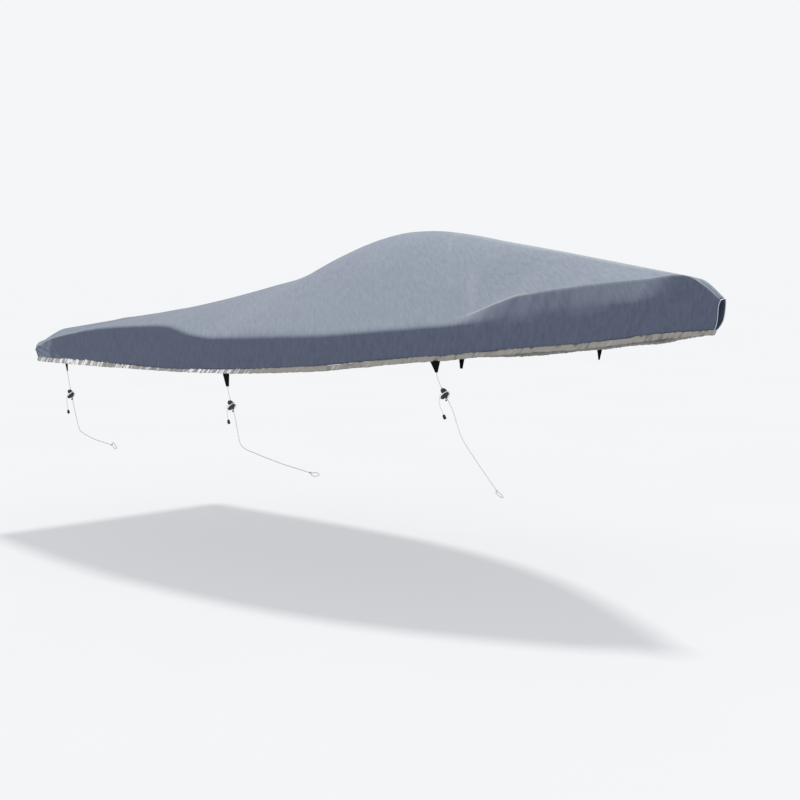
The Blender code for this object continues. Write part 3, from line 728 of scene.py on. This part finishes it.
def halfCloth(columns):
    # one side's grid, hem to ridge: at the bow the side is drawn straight from the hem to
    # the rail; aft of it the gunwale is rounded by sliding means up each column
    grid = clothGrid
    wide = {key: value[:, None] for key, value in columns.items()}
    heights = np.linspace(0, 1, grid["skirtRows"]) ** grid["skirtPower"]
    edgeShares = np.array(grid["edgeShares"])
    topShares = np.linspace(0, 1, grid["topRows"])[1:] ** grid["topPower"]
    topShares = np.concatenate(((grid["creaseShare"],), topShares))
    points = np.concatenate((skirtPoints(wide, heights[None, :]),
                             topPoints(columns, edgeShares, topShares)), 1)
    railRow = grid["skirtRows"] + len(edgeShares) - 1
    straight, soft, crisp = (readTable(grid[key], columns["x"])[:, None, None]
                             for key in ("straight", "soft", "crisp"))
    side = points[:, :railRow + 1]
    share = (side[..., 2:] - side[:, :1, 2:]) / (side[:, -1:, 2:] - side[:, :1, 2:])
    points[:, :railRow + 1] += straight * (side[:, :1] + share * (side[:, -1:] - side[:, :1])
                                           - side)
    rows = np.arange(points.shape[1])
    nearRail = np.exp(-((rows - railRow) / grid["nearRail"]) ** 2)[None, :, None]
    soft = (soft * (1 - crisp * nearRail))[:, 1:-1]
    for _ in range(grid["rounding"]):
        inner = points[:, 1:-1]
        points[:, 1:-1] = inner + soft * ((points[:, :-2] + points[:, 2:]) / 2 - inner)
    return points


# Creases and soft ridges of a side of the top: from and to, as station and side, with how
# far each stands up, half its width, and how much painted highlight its crest gets.
clothFolds = dict(
    starboard=((2.98, -0.01, 3.03, -0.15, 0.0012, 0.0065, 0.16),
               (3.03, -0.13, 3.14, -0.27, 0.0012, 0.0065, 0.14),
               (3.20, -0.36, 3.38, -0.47, 0.0014, 0.010, 0.06),
               (1.62, -0.20, 1.80, -0.90, 0.0060, 0.060, 0.0),
               (3.35, -0.30, 3.62, -0.60, 0.0030, 0.030, 0.1)),
    port=((2.50, -0.25, 2.36, -0.50, -0.0030, 0.013, 0.12),
          (1.70, -0.25, 1.86, -0.88, 0.0060, 0.060, 0.0),
          (3.20, -0.28, 3.55, -0.62, 0.0030, 0.028, 0.1),
          (0.75, -0.30, 0.50, -0.75, 0.0035, 0.035, 0.0)))
# Unevenness in metres: soft hollows all over, puckers along the gunwale within some rows of
# it, and slow waves down the skirt. The first and last rows held still keep the hem true.
clothRelief = dict(hollows=0.0016, hollowSize=(16, 7), pucker=0.0014, puckerRows=3.2,
                   wave=0.0030, waveRows=12.0, heldRows=3.0)
# Painted highlights along the rail's crease and along the ridge's seam, as the station and
# how much, and how wide each band is. Then painted shade where the top lies flat aft and
# painted light where its flanks are steep, by station and by steepness, and the strip painted
# pale as light below the bow's rail, by station and by rows of the grid.
clothPaintedLight = dict(rail=((3.55, 0.0), (3.64, 0.50), (3.84, 0.60), (3.93, 0.20), (4.00, 0.0),
                       (4.73, 0.0)), railWide=0.0055,
                 ridge=((2.85, 0.0), (3.05, 0.14), (3.60, 0.22), (4.30, 0.20), (4.60, 0.05)),
                 ridgeWide=0.040,
                 paintedShade=0.37, shadeBy=((1.2, 1), (2.4, 0)), shadeSteep=((0.02, 1), (0.16, 0)),
                 paintedLight=0.16, litFrom=((0.01, 0), (0.16, 1)), litTo=((0.34, 1), (0.60, 0)),
                 litBy=((1.0, 0.3), (2.2, 0.3), (2.6, 1.0), (3.3, 1.0), (3.7, 0.35)),
                 strip=0.19, stripLow=2.5, stripUneven=3.0, stripSoft=(2.5, 1.2), streaks=0.75,
                 stripBy=((3.55, 0), (3.75, 1), (4.0, 0.78), (4.42, 0.36), (4.53, 0)))
# Folds where the skirt turns the stern's corner, leaning aft as they rise: the station at the
# hem and at the gunwale, how far each stands out, half its width, and how much painted light its
# crest gets; a negative one takes painted light away. Aft of a line that leans the same way, the
# cloth is painted paler as light.
cornerFolds = ((0.25, 0.06, 0.003, 0.010, 0.2), (0.225, -0.04, 0.006, 0.010, 1.3),
               (0.17, -0.09, -0.004, 0.010, -0.8), (0.11, -0.12, 0.004, 0.010, 0.5),
               (0.06, -0.16, -0.005, 0.010, -0.7), (0.02, -0.20, 0.006, 0.012, 0.9))
cornerLightPatch = dict(hem=0.225, gunwale=0.13, soft=0.03, end=-0.24, amount=0.52)


def outward(points):
    # the grid's own normals, from its steps both ways
    across = np.gradient(points, axis=0)
    up = np.gradient(points, axis=1)
    normal = np.cross(up, across)
    return normal / np.maximum(np.linalg.norm(normal, axis=2, keepdims=True), 1e-9)


def addFolds(points, rows):
    # a bell across each fold's line, tapered to its ends: it lifts the cloth and paints a
    # highlight on the crest
    lift = np.zeros(points.shape[:2])
    paintedHighlight = np.zeros(points.shape[:2])
    for x0, y0, x1, y1, rise, half, pale in rows:
        start, way = np.array((x0, y0)), np.array((x1 - x0, y1 - y0))
        flat = points[..., :2] - start
        share = np.clip(flat @ way / (way @ way), 0, 1)
        away = np.linalg.norm(flat - share[..., None] * way, axis=2)
        bell = np.exp(-(away / half) ** 2) * np.sin(math.pi * np.clip(share, 0.02, 0.98)) ** 0.6
        lift += rise * bell
        # painted highlight on the fold's crest
        paintedHighlight += pale * bell
    return lift, paintedHighlight


def turnFolds(run, columns, height):
    # the corner's folds by station, run on round the arc, and the painted light on their crests
    # and on the cloth aft of them
    turnAt = clothShape["stern"] + clothShape["radius"]
    onSide = np.nonzero(columns["x"] >= turnAt - 1e-9)[0][-1]
    station = (turnAt + run[onSide] - run)[:, None]
    lift, pale = 0 * height, 0 * height
    for hem, gunwale, rise, half, crest in cornerFolds:
        away = (station - hem - height * (gunwale - hem)) / half
        bell = np.exp(-away ** 2) * np.sin(math.pi * np.clip(height, 0.1, 0.95)) ** 0.5
        lift += rise * bell
        # painted light on the corner folds' crests, less where a crest's value is negative
        pale += crest * bell
    look = cornerLightPatch
    aft = look["hem"] + height * (look["gunwale"] - look["hem"]) - station
    patch = np.clip(aft / look["soft"] + 0.5, 0, 1) * np.clip(
        (station - look["end"]) / (2 * look["soft"]), 0, 1)
    return lift, look["amount"] * np.clip(patch + pale, 0, 2) * (height < 1.02)


def highlightBands(columns, plain):
    # painted highlights: bells across the rail's crease and beside the ridge, by distance up the
    # cloth
    look = clothPaintedLight
    up = np.cumsum(np.linalg.norm(np.diff(plain, axis=1, prepend=plain[:, :1]), axis=2), 1)
    railRow = clothGrid["skirtRows"] + len(clothGrid["edgeShares"]) - 1
    rail = readTable(look["rail"], columns["x"])[:, None]
    ridge = readTable(look["ridge"], columns["x"])[:, None]
    fromRail = (up - up[:, railRow:railRow + 1]) / look["railWide"]
    fromRidge = (up[:, -1:] - up) / look["ridgeWide"]
    onSide = (columns["outY"] < -0.5)[:, None]
    return onSide * (rail * np.exp(-fromRail ** 2) + ridge * np.exp(-fromRidge ** 4))


def mirrored(values):
    # a value of one side's rows, run on down the other side from the ridge
    return np.concatenate((values, values[:, -2::-1]), 1)


def unevenHalf(plain, columns, number, turned):
    # one side, moved along its normals: its folds, hollows, puckers and the skirt's waves
    look = clothRelief
    count, rows = plain.shape[:2]
    lift, paintedHighlight = addFolds(plain, clothFolds[("starboard", "port")[number]])
    lift = lift + turned
    soft = softField(11 + number, count, rows, look["hollowSize"]) * look["hollows"]
    rowsUp = np.arange(rows) - (clothGrid["skirtRows"] - 1)
    nearEdge = np.exp(-(rowsUp / look["puckerRows"]) ** 2)[None, :]
    pucker = evenWave(21 + number, count, 2)[:, None] * nearEdge * look["pucker"]
    skirtWave = evenWave(31 + number, count, 9)[:, None] * np.clip(
        -rowsUp / look["waveRows"], 0, 1)[None, :] * look["wave"]
    hold = np.clip(np.arange(rows) / look["heldRows"], 0, 1)[None, :] * np.clip(
        (rows - 1 - np.arange(rows)) / look["heldRows"], 0, 1)[None, :]
    side = plain + outward(plain) * ((lift + soft + pucker) * hold + skirtWave)[..., None]
    side[-1, :, 1] = 0.0
    return side, paintedHighlight + highlightBands(columns, plain)


def paintedLightAndShade(plain, columns, cornerLight, edgeRow, railRow):
    # painted light where the top's flanks are steep, round the corner, and in the streaky strip
    # below the bow's rail, and painted shade where the top lies flat aft
    look = clothPaintedLight
    count, rows = plain.shape[:2]
    x, up = columns["x"], np.arange(rows)
    # painted shade where the top lies flat, aft of mid-length
    steep = 1 - np.abs(outward(plain)[..., 2])
    paintedShade = look["paintedShade"] * readTable(look["shadeSteep"], steep) * readTable(
        look["shadeBy"], x)[:, None] * np.ones(rows)
    # painted light on the steep flanks of the top, by station, and round the stern's corner
    paintedLight = look["paintedLight"] * readTable(look["litFrom"], steep) * readTable(
        look["litTo"], steep) * (up > edgeRow) * readTable(look["litBy"], x)[:, None]
    paintedLight = paintedLight + cornerLight * np.clip(1.1 - 0.8 * softField(81, count, rows, (2, 5)), 0.2, 1.8)
    low = edgeRow - look["stripLow"] + look["stripUneven"] * evenWave(71, count, 2)[:, None]
    below, above = look["stripSoft"]
    band = np.clip((up - low + 1) / below, 0, 1) * np.clip((railRow + 0.5 - up) / above, 0, 1)
    streaks = np.clip(1 + look["streaks"] * softField(73, count, rows, (2, 6)), 0, 2)
    # painted light in streaks down the strip below the bow's rail
    paintedLight = paintedLight + look["strip"] * readTable(look["stripBy"], x)[:, None] * streaks * band
    return paintedShade, paintedLight


def makeCloth(material):
    # both sides from the notch round to the stern, joined along the ridge and the stern
    shape, grid = clothShape, clothGrid
    columns = clothColumns()
    plain = halfCloth(columns)
    count, rows = plain.shape[:2]
    edgeRow = grid["skirtRows"] - 1
    railRow = edgeRow + len(grid["edgeShares"])
    run = runLength(np.stack((columns["x"], columns["y"], 0 * columns["x"]), 1))
    upSkirt = np.linalg.norm(plain - plain[:, :1], axis=2)
    height = np.clip((plain[..., 2] - plain[:, :1, 2])
                     / (plain[:, edgeRow:edgeRow + 1, 2] - plain[:, :1, 2]), 0, 1.1)
    turned, cornerLight = turnFolds(run, columns, height)
    lower = readTable(shape["portLower"], columns["x"])[:, None] * np.interp(
        np.arange(rows), (edgeRow, railRow - 1, railRow + 3, rows - 1), (0, 1, 0.8, 0))
    starboard, starboardHighlight = unevenHalf(plain, columns, 0, turned)
    port, portHighlight = unevenHalf(plain, columns, 1, turned)
    port[..., 2] -= lower
    port = port * (1, -1, 1)
    starboard[-1] = port[-1] = (starboard[-1] + port[-1]) / 2

    points = np.concatenate((starboard, port[:, -2::-1]), 1)
    wide = points.shape[1]
    index = np.arange(count * wide).reshape(count, wide)
    index[-1, rows:] = index[-1, rows - 2::-1]
    faces = index.ravel()[gridFaces(count, wide)]
    used = np.unique(faces)
    place = np.zeros(count * wide, int)
    place[used] = np.arange(len(used))
    piece = newPiece("cover_canvas", points.reshape(-1, 3)[used] - origin,
                     place[faces].tolist(), material)

    # where each point is in the weave: along the gunwale, up the cloth, and on which side
    ridge = np.abs(plain[:, edgeRow, 1])[:, None] - np.abs(plain[..., 1])
    along = run[:, None] - grid["slant"] * ridge
    sideways = np.concatenate((0 * upSkirt, 0 * upSkirt[:, -2::-1] + grid["apart"]), 1)
    weave = np.stack((mirrored(along), mirrored(upSkirt), sideways), -1)
    setAttribute(piece, "weave", weave.reshape(-1, 3)[used])
    paintedHighlight = np.concatenate((starboardHighlight, portHighlight[:, -2::-1]), 1)
    paintedShade, paintedLight = paintedLightAndShade(plain, columns, cornerLight, edgeRow, railRow)
    for name, values in (("paintedHighlight", np.clip(paintedHighlight, 0, 1)), ("paintedShade", mirrored(paintedShade)),
                         ("paintedLight", mirrored(paintedLight))):
        setAttribute(piece, name, values.ravel()[used])
    wall = piece.modifiers.new("cloth", "SOLIDIFY")
    wall.thickness = shape["thick"]
    wall.offset = -1.0
    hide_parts("cover_cloth")
    return piece, columns, plain


cloth, columns, plain = makeCloth(canvasMaterial())
print("cloth made:", len(cloth.data.polygons), "faces")


# Edge casing.

# Its section as out and up from the hem, how much of its height it keeps at a station, and
# how much painted highlight it has there. Folds run from 0 in a gather to 1 on a puff.
casingShape = dict(
    height=0.034, gap=0.0005, pitch=0.003, puff=0.0048, lean=0.026, overlap=0.0075,
    hang=0.0022, rake=0.011, rakeFrom=4.60, rakeOver=0.09, scallop=0.0055, lipRow=2,
    lipRows=0.9, lipOut=0.0016,
    profile=((-0.0026, -0.0016), (0.0014, -0.0010), (0.0024, 0.0000), (0.0042, -0.0030),
             (0.0054, -0.0085), (0.0058, -0.0155), (0.0056, -0.0225), (0.0048, -0.0285),
             (0.0030, -0.0328), (0.0004, -0.0342), (-0.0024, -0.0325), (-0.0042, -0.0260),
             (-0.0046, -0.0170), (-0.0040, -0.0070)),
    tall=((-0.15, 0.90), (0.80, 0.82), (1.10, 0.58), (1.50, 0.48), (1.75, 0.55), (2.10, 0.66),
          (2.40, 0.76), (2.90, 0.88), (3.20, 0.82), (3.60, 0.74), (4.00, 0.72), (4.30, 0.82),
          (4.55, 0.82), (4.66, 0.72)),
    glossHighlight=((-0.15, 0.34), (0.20, 0.46), (0.27, 0.85), (0.46, 0.85), (0.56, 0.50), (0.92, 0.38),
            (1.05, 0.32), (1.15, 0.12), (1.55, 0.08), (1.68, 0.42), (1.94, 0.40),
            (2.10, 0.45), (2.20, 0.00), (2.40, -0.25), (4.65, -0.30)))


def hemLine(columns, plain):
    # the middle of the casing's top, from the stem round to the middle of the stern
    hem = plain[:, 0] - np.stack((columns["outX"], columns["outY"], 0 * columns["x"]),
                                 1) * clothShape["thick"] / 2
    first = plain[0, 0]
    angle = np.linspace(0, math.pi / 2, 6)[:-1]
    stem = np.stack((first[0] - first[1] * 0.3 * np.cos(angle), first[1] * np.sin(angle),
                     np.full(len(angle), first[2])), 1)
    return np.concatenate((stem, hem))


def evenly(points, pitch):
    # points at even steps along straight pieces, and how far along each is
    run = runLength(points)
    where = np.linspace(0, run[-1], int(round(run[-1] / pitch)) + 1)
    return np.stack([np.interp(where, run, points[:, axis]) for axis in range(3)], 1), where


def makeCasing(columns, plain, material):
    # a flattened oval hanging from the hem, drawn into uneven puffs that lean forward as
    # they rise, with the deep gathers between them where two soft waves are both low
    look = casingShape
    half = hemLine(columns, plain)
    line = np.concatenate((half[::-1] * (1, -1, 1), half[1:]))
    line, run = evenly(line, look["pitch"])
    line, run = line[:-1], run[:-1]
    count = len(line)
    ahead = np.roll(line, -3, 0) - np.roll(line, 3, 0)
    out = np.stack((ahead[:, 1], -ahead[:, 0], 0 * run), 1)
    out /= np.linalg.norm(out, axis=1)[:, None]
    if np.sum(out[:, 1] * line[:, 1]) < 0:
        out = -out
    profile = np.array(look["profile"])
    off, level = profile[None, :, 0], profile[None, :, 1]
    down = -level / look["height"]
    outer = np.clip(off / 0.005, -0.6, 1)

    def leaning(seed, size, share=1.0):
        # on each side the wave is read further forward lower down
        way = np.sign(line[:, 1])[:, None]
        return np.interp(run[:, None] + share * way * look["lean"] * down, run,
                         evenWave(seed, count, size))

    across = np.clip(down, 0, 1)
    fold = 0.60 + 0.85 * (leaning(41, 3, 0.4) * (1 - across) + leaning(45, 3, 0.4) * across)
    fold = np.clip(fold + 0.45 * leaning(43, 2, 1.0) * across, 0, 1)
    size = np.clip(0.60 + 0.65 * evenWave(47, count, 14), 0.12, 1)[:, None]
    relief = look["puff"] * size * (fold - 0.8)
    lip = np.exp(-((np.arange(len(profile)) - look["lipRow"]) / look["lipRows"]) ** 2)[None, :]
    scallop = look["scallop"] * evenWave(63, count, 18)[:, None]
    rise = lip * (look["overlap"] * (0.1 + 0.9 * fold * size) + scallop)
    drop = look["hang"] * across ** 3 * evenWave(59, count, 5)[:, None]
    tall = readTable(look["tall"], line[:, 0])[:, None]
    place = off + relief * outer + look["lipOut"] * lip * (fold - 0.4)
    rake = look["rake"] * np.clip((line[:, :1] - look["rakeFrom"]) / look["rakeOver"], 0,
                                  1) * (0.35 + down)
    ring = (line[:, None] + place[..., None] * out[:, None]
            + np.stack((-rake, 0 * place, level * tall - look["gap"] + rise + drop), -1))
    faces = gridFaces(count, len(profile), closedRows=True, closedColumns=True)
    piece = newPiece("ruched_edge_casing", ring.reshape(-1, 3) - origin, faces.tolist(),
                     material)
    weave = np.stack((np.broadcast_to(run[:, None], place.shape),
                      look["height"] * down + 0 * place, 0 * place), -1)
    setAttribute(piece, "weave", weave.reshape(-1, 3))
    # painted shade in the gathers between puffs and along the casing's foot
    underShade = 0.45 * np.clip((down - 0.80) / 0.2, 0, 1)
    setAttribute(piece, "gatherShade", np.clip((1 - fold) * (0.4 + 0.6 * size) + underShade, 0, 1).ravel())
    # painted highlights: white slashes leaning up the casing, more at some stations
    glossHighlight = readTable(look["glossHighlight"], line[:, 0])[:, None]
    glossStreak = 0.5 + 1.7 * (leaning(61, 2) + 1.3 * glossHighlight - 0.78)
    setAttribute(piece, "glossHighlight", np.clip(glossStreak, 0, 1).ravel())
    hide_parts(*[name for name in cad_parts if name.startswith("casing_")])
    return piece


casing = makeCasing(columns, plain, casingMaterial())
print("casing made:", len(casing.data.polygons), "faces")


# Notch binding.

# How far the tape lies ahead of the cloth's edge, above its foot and inside it.
bindingLook = dict(radius=0.0019, sides=12, pitch=0.003, ahead=0.0027, foot=0.0022,
                   inside=0.001)


def makeBinding(plain, material):
    # a narrow round tape about the notch: up one side, over the peak and down the other
    look = bindingLook
    half = plain[0].copy()
    half[:, 0] += look["ahead"]
    half[0, 2] += look["foot"]
    half[:clothGrid["skirtRows"], 1] += look["inside"]
    half[clothGrid["skirtRows"]:, 2] -= look["inside"]
    line = np.concatenate((half, half[-2::-1] * (1, -1, 1)))
    line = evenly(line, look["pitch"])[0]
    ring, faces = tubeAlong(line, np.full((len(line), look["sides"]), look["radius"]))
    piece = newPiece("notch_tape", ring - origin, faces, material)
    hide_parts("notch_binding")
    return piece


binding = makeBinding(plain, tapeMaterial())


# Webbing tabs.

# Each tab's station, width at its top and tip, and length. Its stitches run a little way in
# from its edges and across it just below the casing.
tabLook = dict(thick=0.003, gap=0.0008, lean=0.10, sewnIn=0.013, points=33, taper=0.94,
               seam=0.0006, seamIn=0.0035, seamWide=0.0009, crossAt=0.006, crossWide=0.0010,
               rim=0.0016,
               places=(("stern", 0.30, 0.036, 0.012, 0.044),
                       ("middle", 2.075, 0.056, 0.024, 0.062),
                       ("forward", 3.455, 0.060, 0.014, 0.050)))


def tabFrame(columns, plain, station, width, side):
    # at the casing's lower edge: +X along the hull, -Z down it and +Y inwards
    hem = hemLine(columns, plain)
    square = columns["outY"] < -0.5
    stem = len(hem) - len(square)
    hem = np.concatenate((hem[:stem], hem[stem:][square]))[::-1]
    level = casingShape["gap"] + casingShape["height"]
    ends = []
    for x in (station - width / 2, station + width / 2):
        y, z = (np.interp(x, hem[:, 0], hem[:, axis]) for axis in (1, 2))
        ends.append(Vector((x, y, z - level)))
    along = (ends[1] - ends[0]).normalized()
    inward = Vector((-along.y, along.x, 0.0)).normalized()
    up = (along.cross(inward) - tabLook["lean"] * inward).normalized()
    inward = up.cross(along)
    place = Matrix((along, inward, up)).transposed().to_4x4()
    place.translation = (ends[0] + ends[1]) / 2 - Vector(origin) - Vector((0, 0, tabLook["gap"]))
    if side > 0:
        flip = Matrix.Scale(-1, 4, (0, 1, 0))
        place = flip @ place @ flip
    return place


def makeTab(name, place, width, tip, length, label, material):
    # a tapered strap: a grid both ways, pillowed a little and pressed in along its stitches
    look = tabLook
    count = look["points"]
    u = np.linspace(-1, 1, count)
    v = np.linspace(0, 1, count)
    half = (width + (tip - width) * v ** look["taper"]) / 2
    x = u[:, None] * half[None, :]
    z = np.broadcast_to(look["sewnIn"] - v * (length + look["sewnIn"]), x.shape)
    edge = np.minimum(half[None, :] - np.abs(x), length * (1 - v)[None, :])
    stitch = look["seam"] * (np.exp(-((edge - look["seamIn"]) / look["seamWide"]) ** 2)
                             + np.exp(-((np.abs(z) - look["crossAt"]) / look["crossWide"]) ** 2))
    thick = look["thick"] / 2 * np.clip(edge / look["rim"], 0.35, 1) ** 0.5 - stitch
    front = np.stack((x, -thick, z), -1)
    back = np.stack((x, thick, z), -1)
    points = inPlace(place, np.concatenate((front.reshape(-1, 3), back.reshape(-1, 3))))
    grid = gridFaces(count, count)
    rim = np.concatenate((np.arange(count), np.arange(1, count) * count + count - 1,
                          (count - 1) * count + np.arange(count - 2, -1, -1),
                          np.arange(count - 2, 0, -1) * count))
    ahead = np.roll(rim, -1)
    total = count * count
    walls = np.stack((rim, rim + total, ahead + total, ahead), 1)
    faces = np.concatenate((grid, grid[:, ::-1] + total, walls[:, ::-1]))
    piece = newPiece("webbing_tab_" + name + "_" + label, points, faces.tolist(), material)
    flat = np.stack((x, z, 0 * x), -1).reshape(-1, 3)
    setAttribute(piece, "weave", np.concatenate((flat, flat)))
    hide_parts("tab_" + name + "_" + label)
    return piece


webbing = webbingMaterial()
for tabName, station, width, tip, length in tabLook["places"]:
    for side, label in ((-1, "starboard"), (1, "port")):
        place = tabFrame(columns, plain, station, width, side)
        makeTab(tabName, place, width, tip, length, label, webbing)
print("binding and tabs made")


# Floor and light.

stageLook = dict(
    floor=-1.986, radius=300.0, sides=96, world=(0.91, 0.92, 0.94),
    keyColour=(1.0, 0.965, 0.765), keyPower=7.8, keyFrom=(-0.08, 0.30, 0.94), keyAngle=9.0,
    glow=0.60, cloud=(0.05, 0.05, 0.05, 1.0))


def makeStage():
    # a soft sky, one key, and a plain floor lit from below too, so that shadows stay light:
    # where the key falls it has the sky's own tone, glow + colour x (key x height / pi + sky)
    look = stageLook
    turn = np.linspace(0, 2 * math.pi, look["sides"], endpoint=False)
    rim = np.stack((look["radius"] * np.cos(turn), look["radius"] * np.sin(turn),
                    np.full(len(turn), look["floor"])), 1)
    mesh = bpy.data.meshes.new("floor")
    mesh.from_pydata(rim.tolist(), [], [list(range(len(turn)))])
    sun = look["keyPower"] * look["keyFrom"][2] / math.pi
    pale = [(1 - look["glow"]) * sky / (sun * tint + sky)
            for sky, tint in zip(look["world"], look["keyColour"])]
    material, tree, shader = newMaterial("pale_floor", 0.95, Specular_IOR_Level=0.0,
                                         Emission_Color=(*look["world"], 1.0),
                                         Emission_Strength=look["glow"])
    place = addNode(tree, "TexCoord").outputs["Object"]
    cloud = addNode(tree, "TexNoise", Vector=place, Scale=0.6, Detail=2.0).outputs[0]
    tone = mixColours(tree, remap(tree, cloud, 0.3, 0.7, 0.0, 0.05), (*pale, 1.0),
                      look["cloud"])
    tree.links.new(tone, shader.inputs["Base Color"])
    mesh.materials.append(material)
    floor = bpy.data.objects.new("floor", mesh)
    bpy.context.scene.collection.objects.link(floor)
    world = bpy.data.worlds.new("studio")
    world.use_nodes = True
    world.node_tree.nodes["Background"].inputs["Color"].default_value = (
        *look["world"], 1.0)
    bpy.context.scene.world = world
    data = bpy.data.lights.new("key", "SUN")
    data.energy = look["keyPower"]
    data.color = look["keyColour"]
    data.angle = math.radians(look["keyAngle"])
    key = bpy.data.objects.new("key", data)
    key.rotation_euler = Vector(look["keyFrom"]).to_track_quat("Z", "Y").to_euler()
    bpy.context.scene.collection.objects.link(key)
    bpy.context.scene.view_settings.view_transform = "Standard"


makeStage()
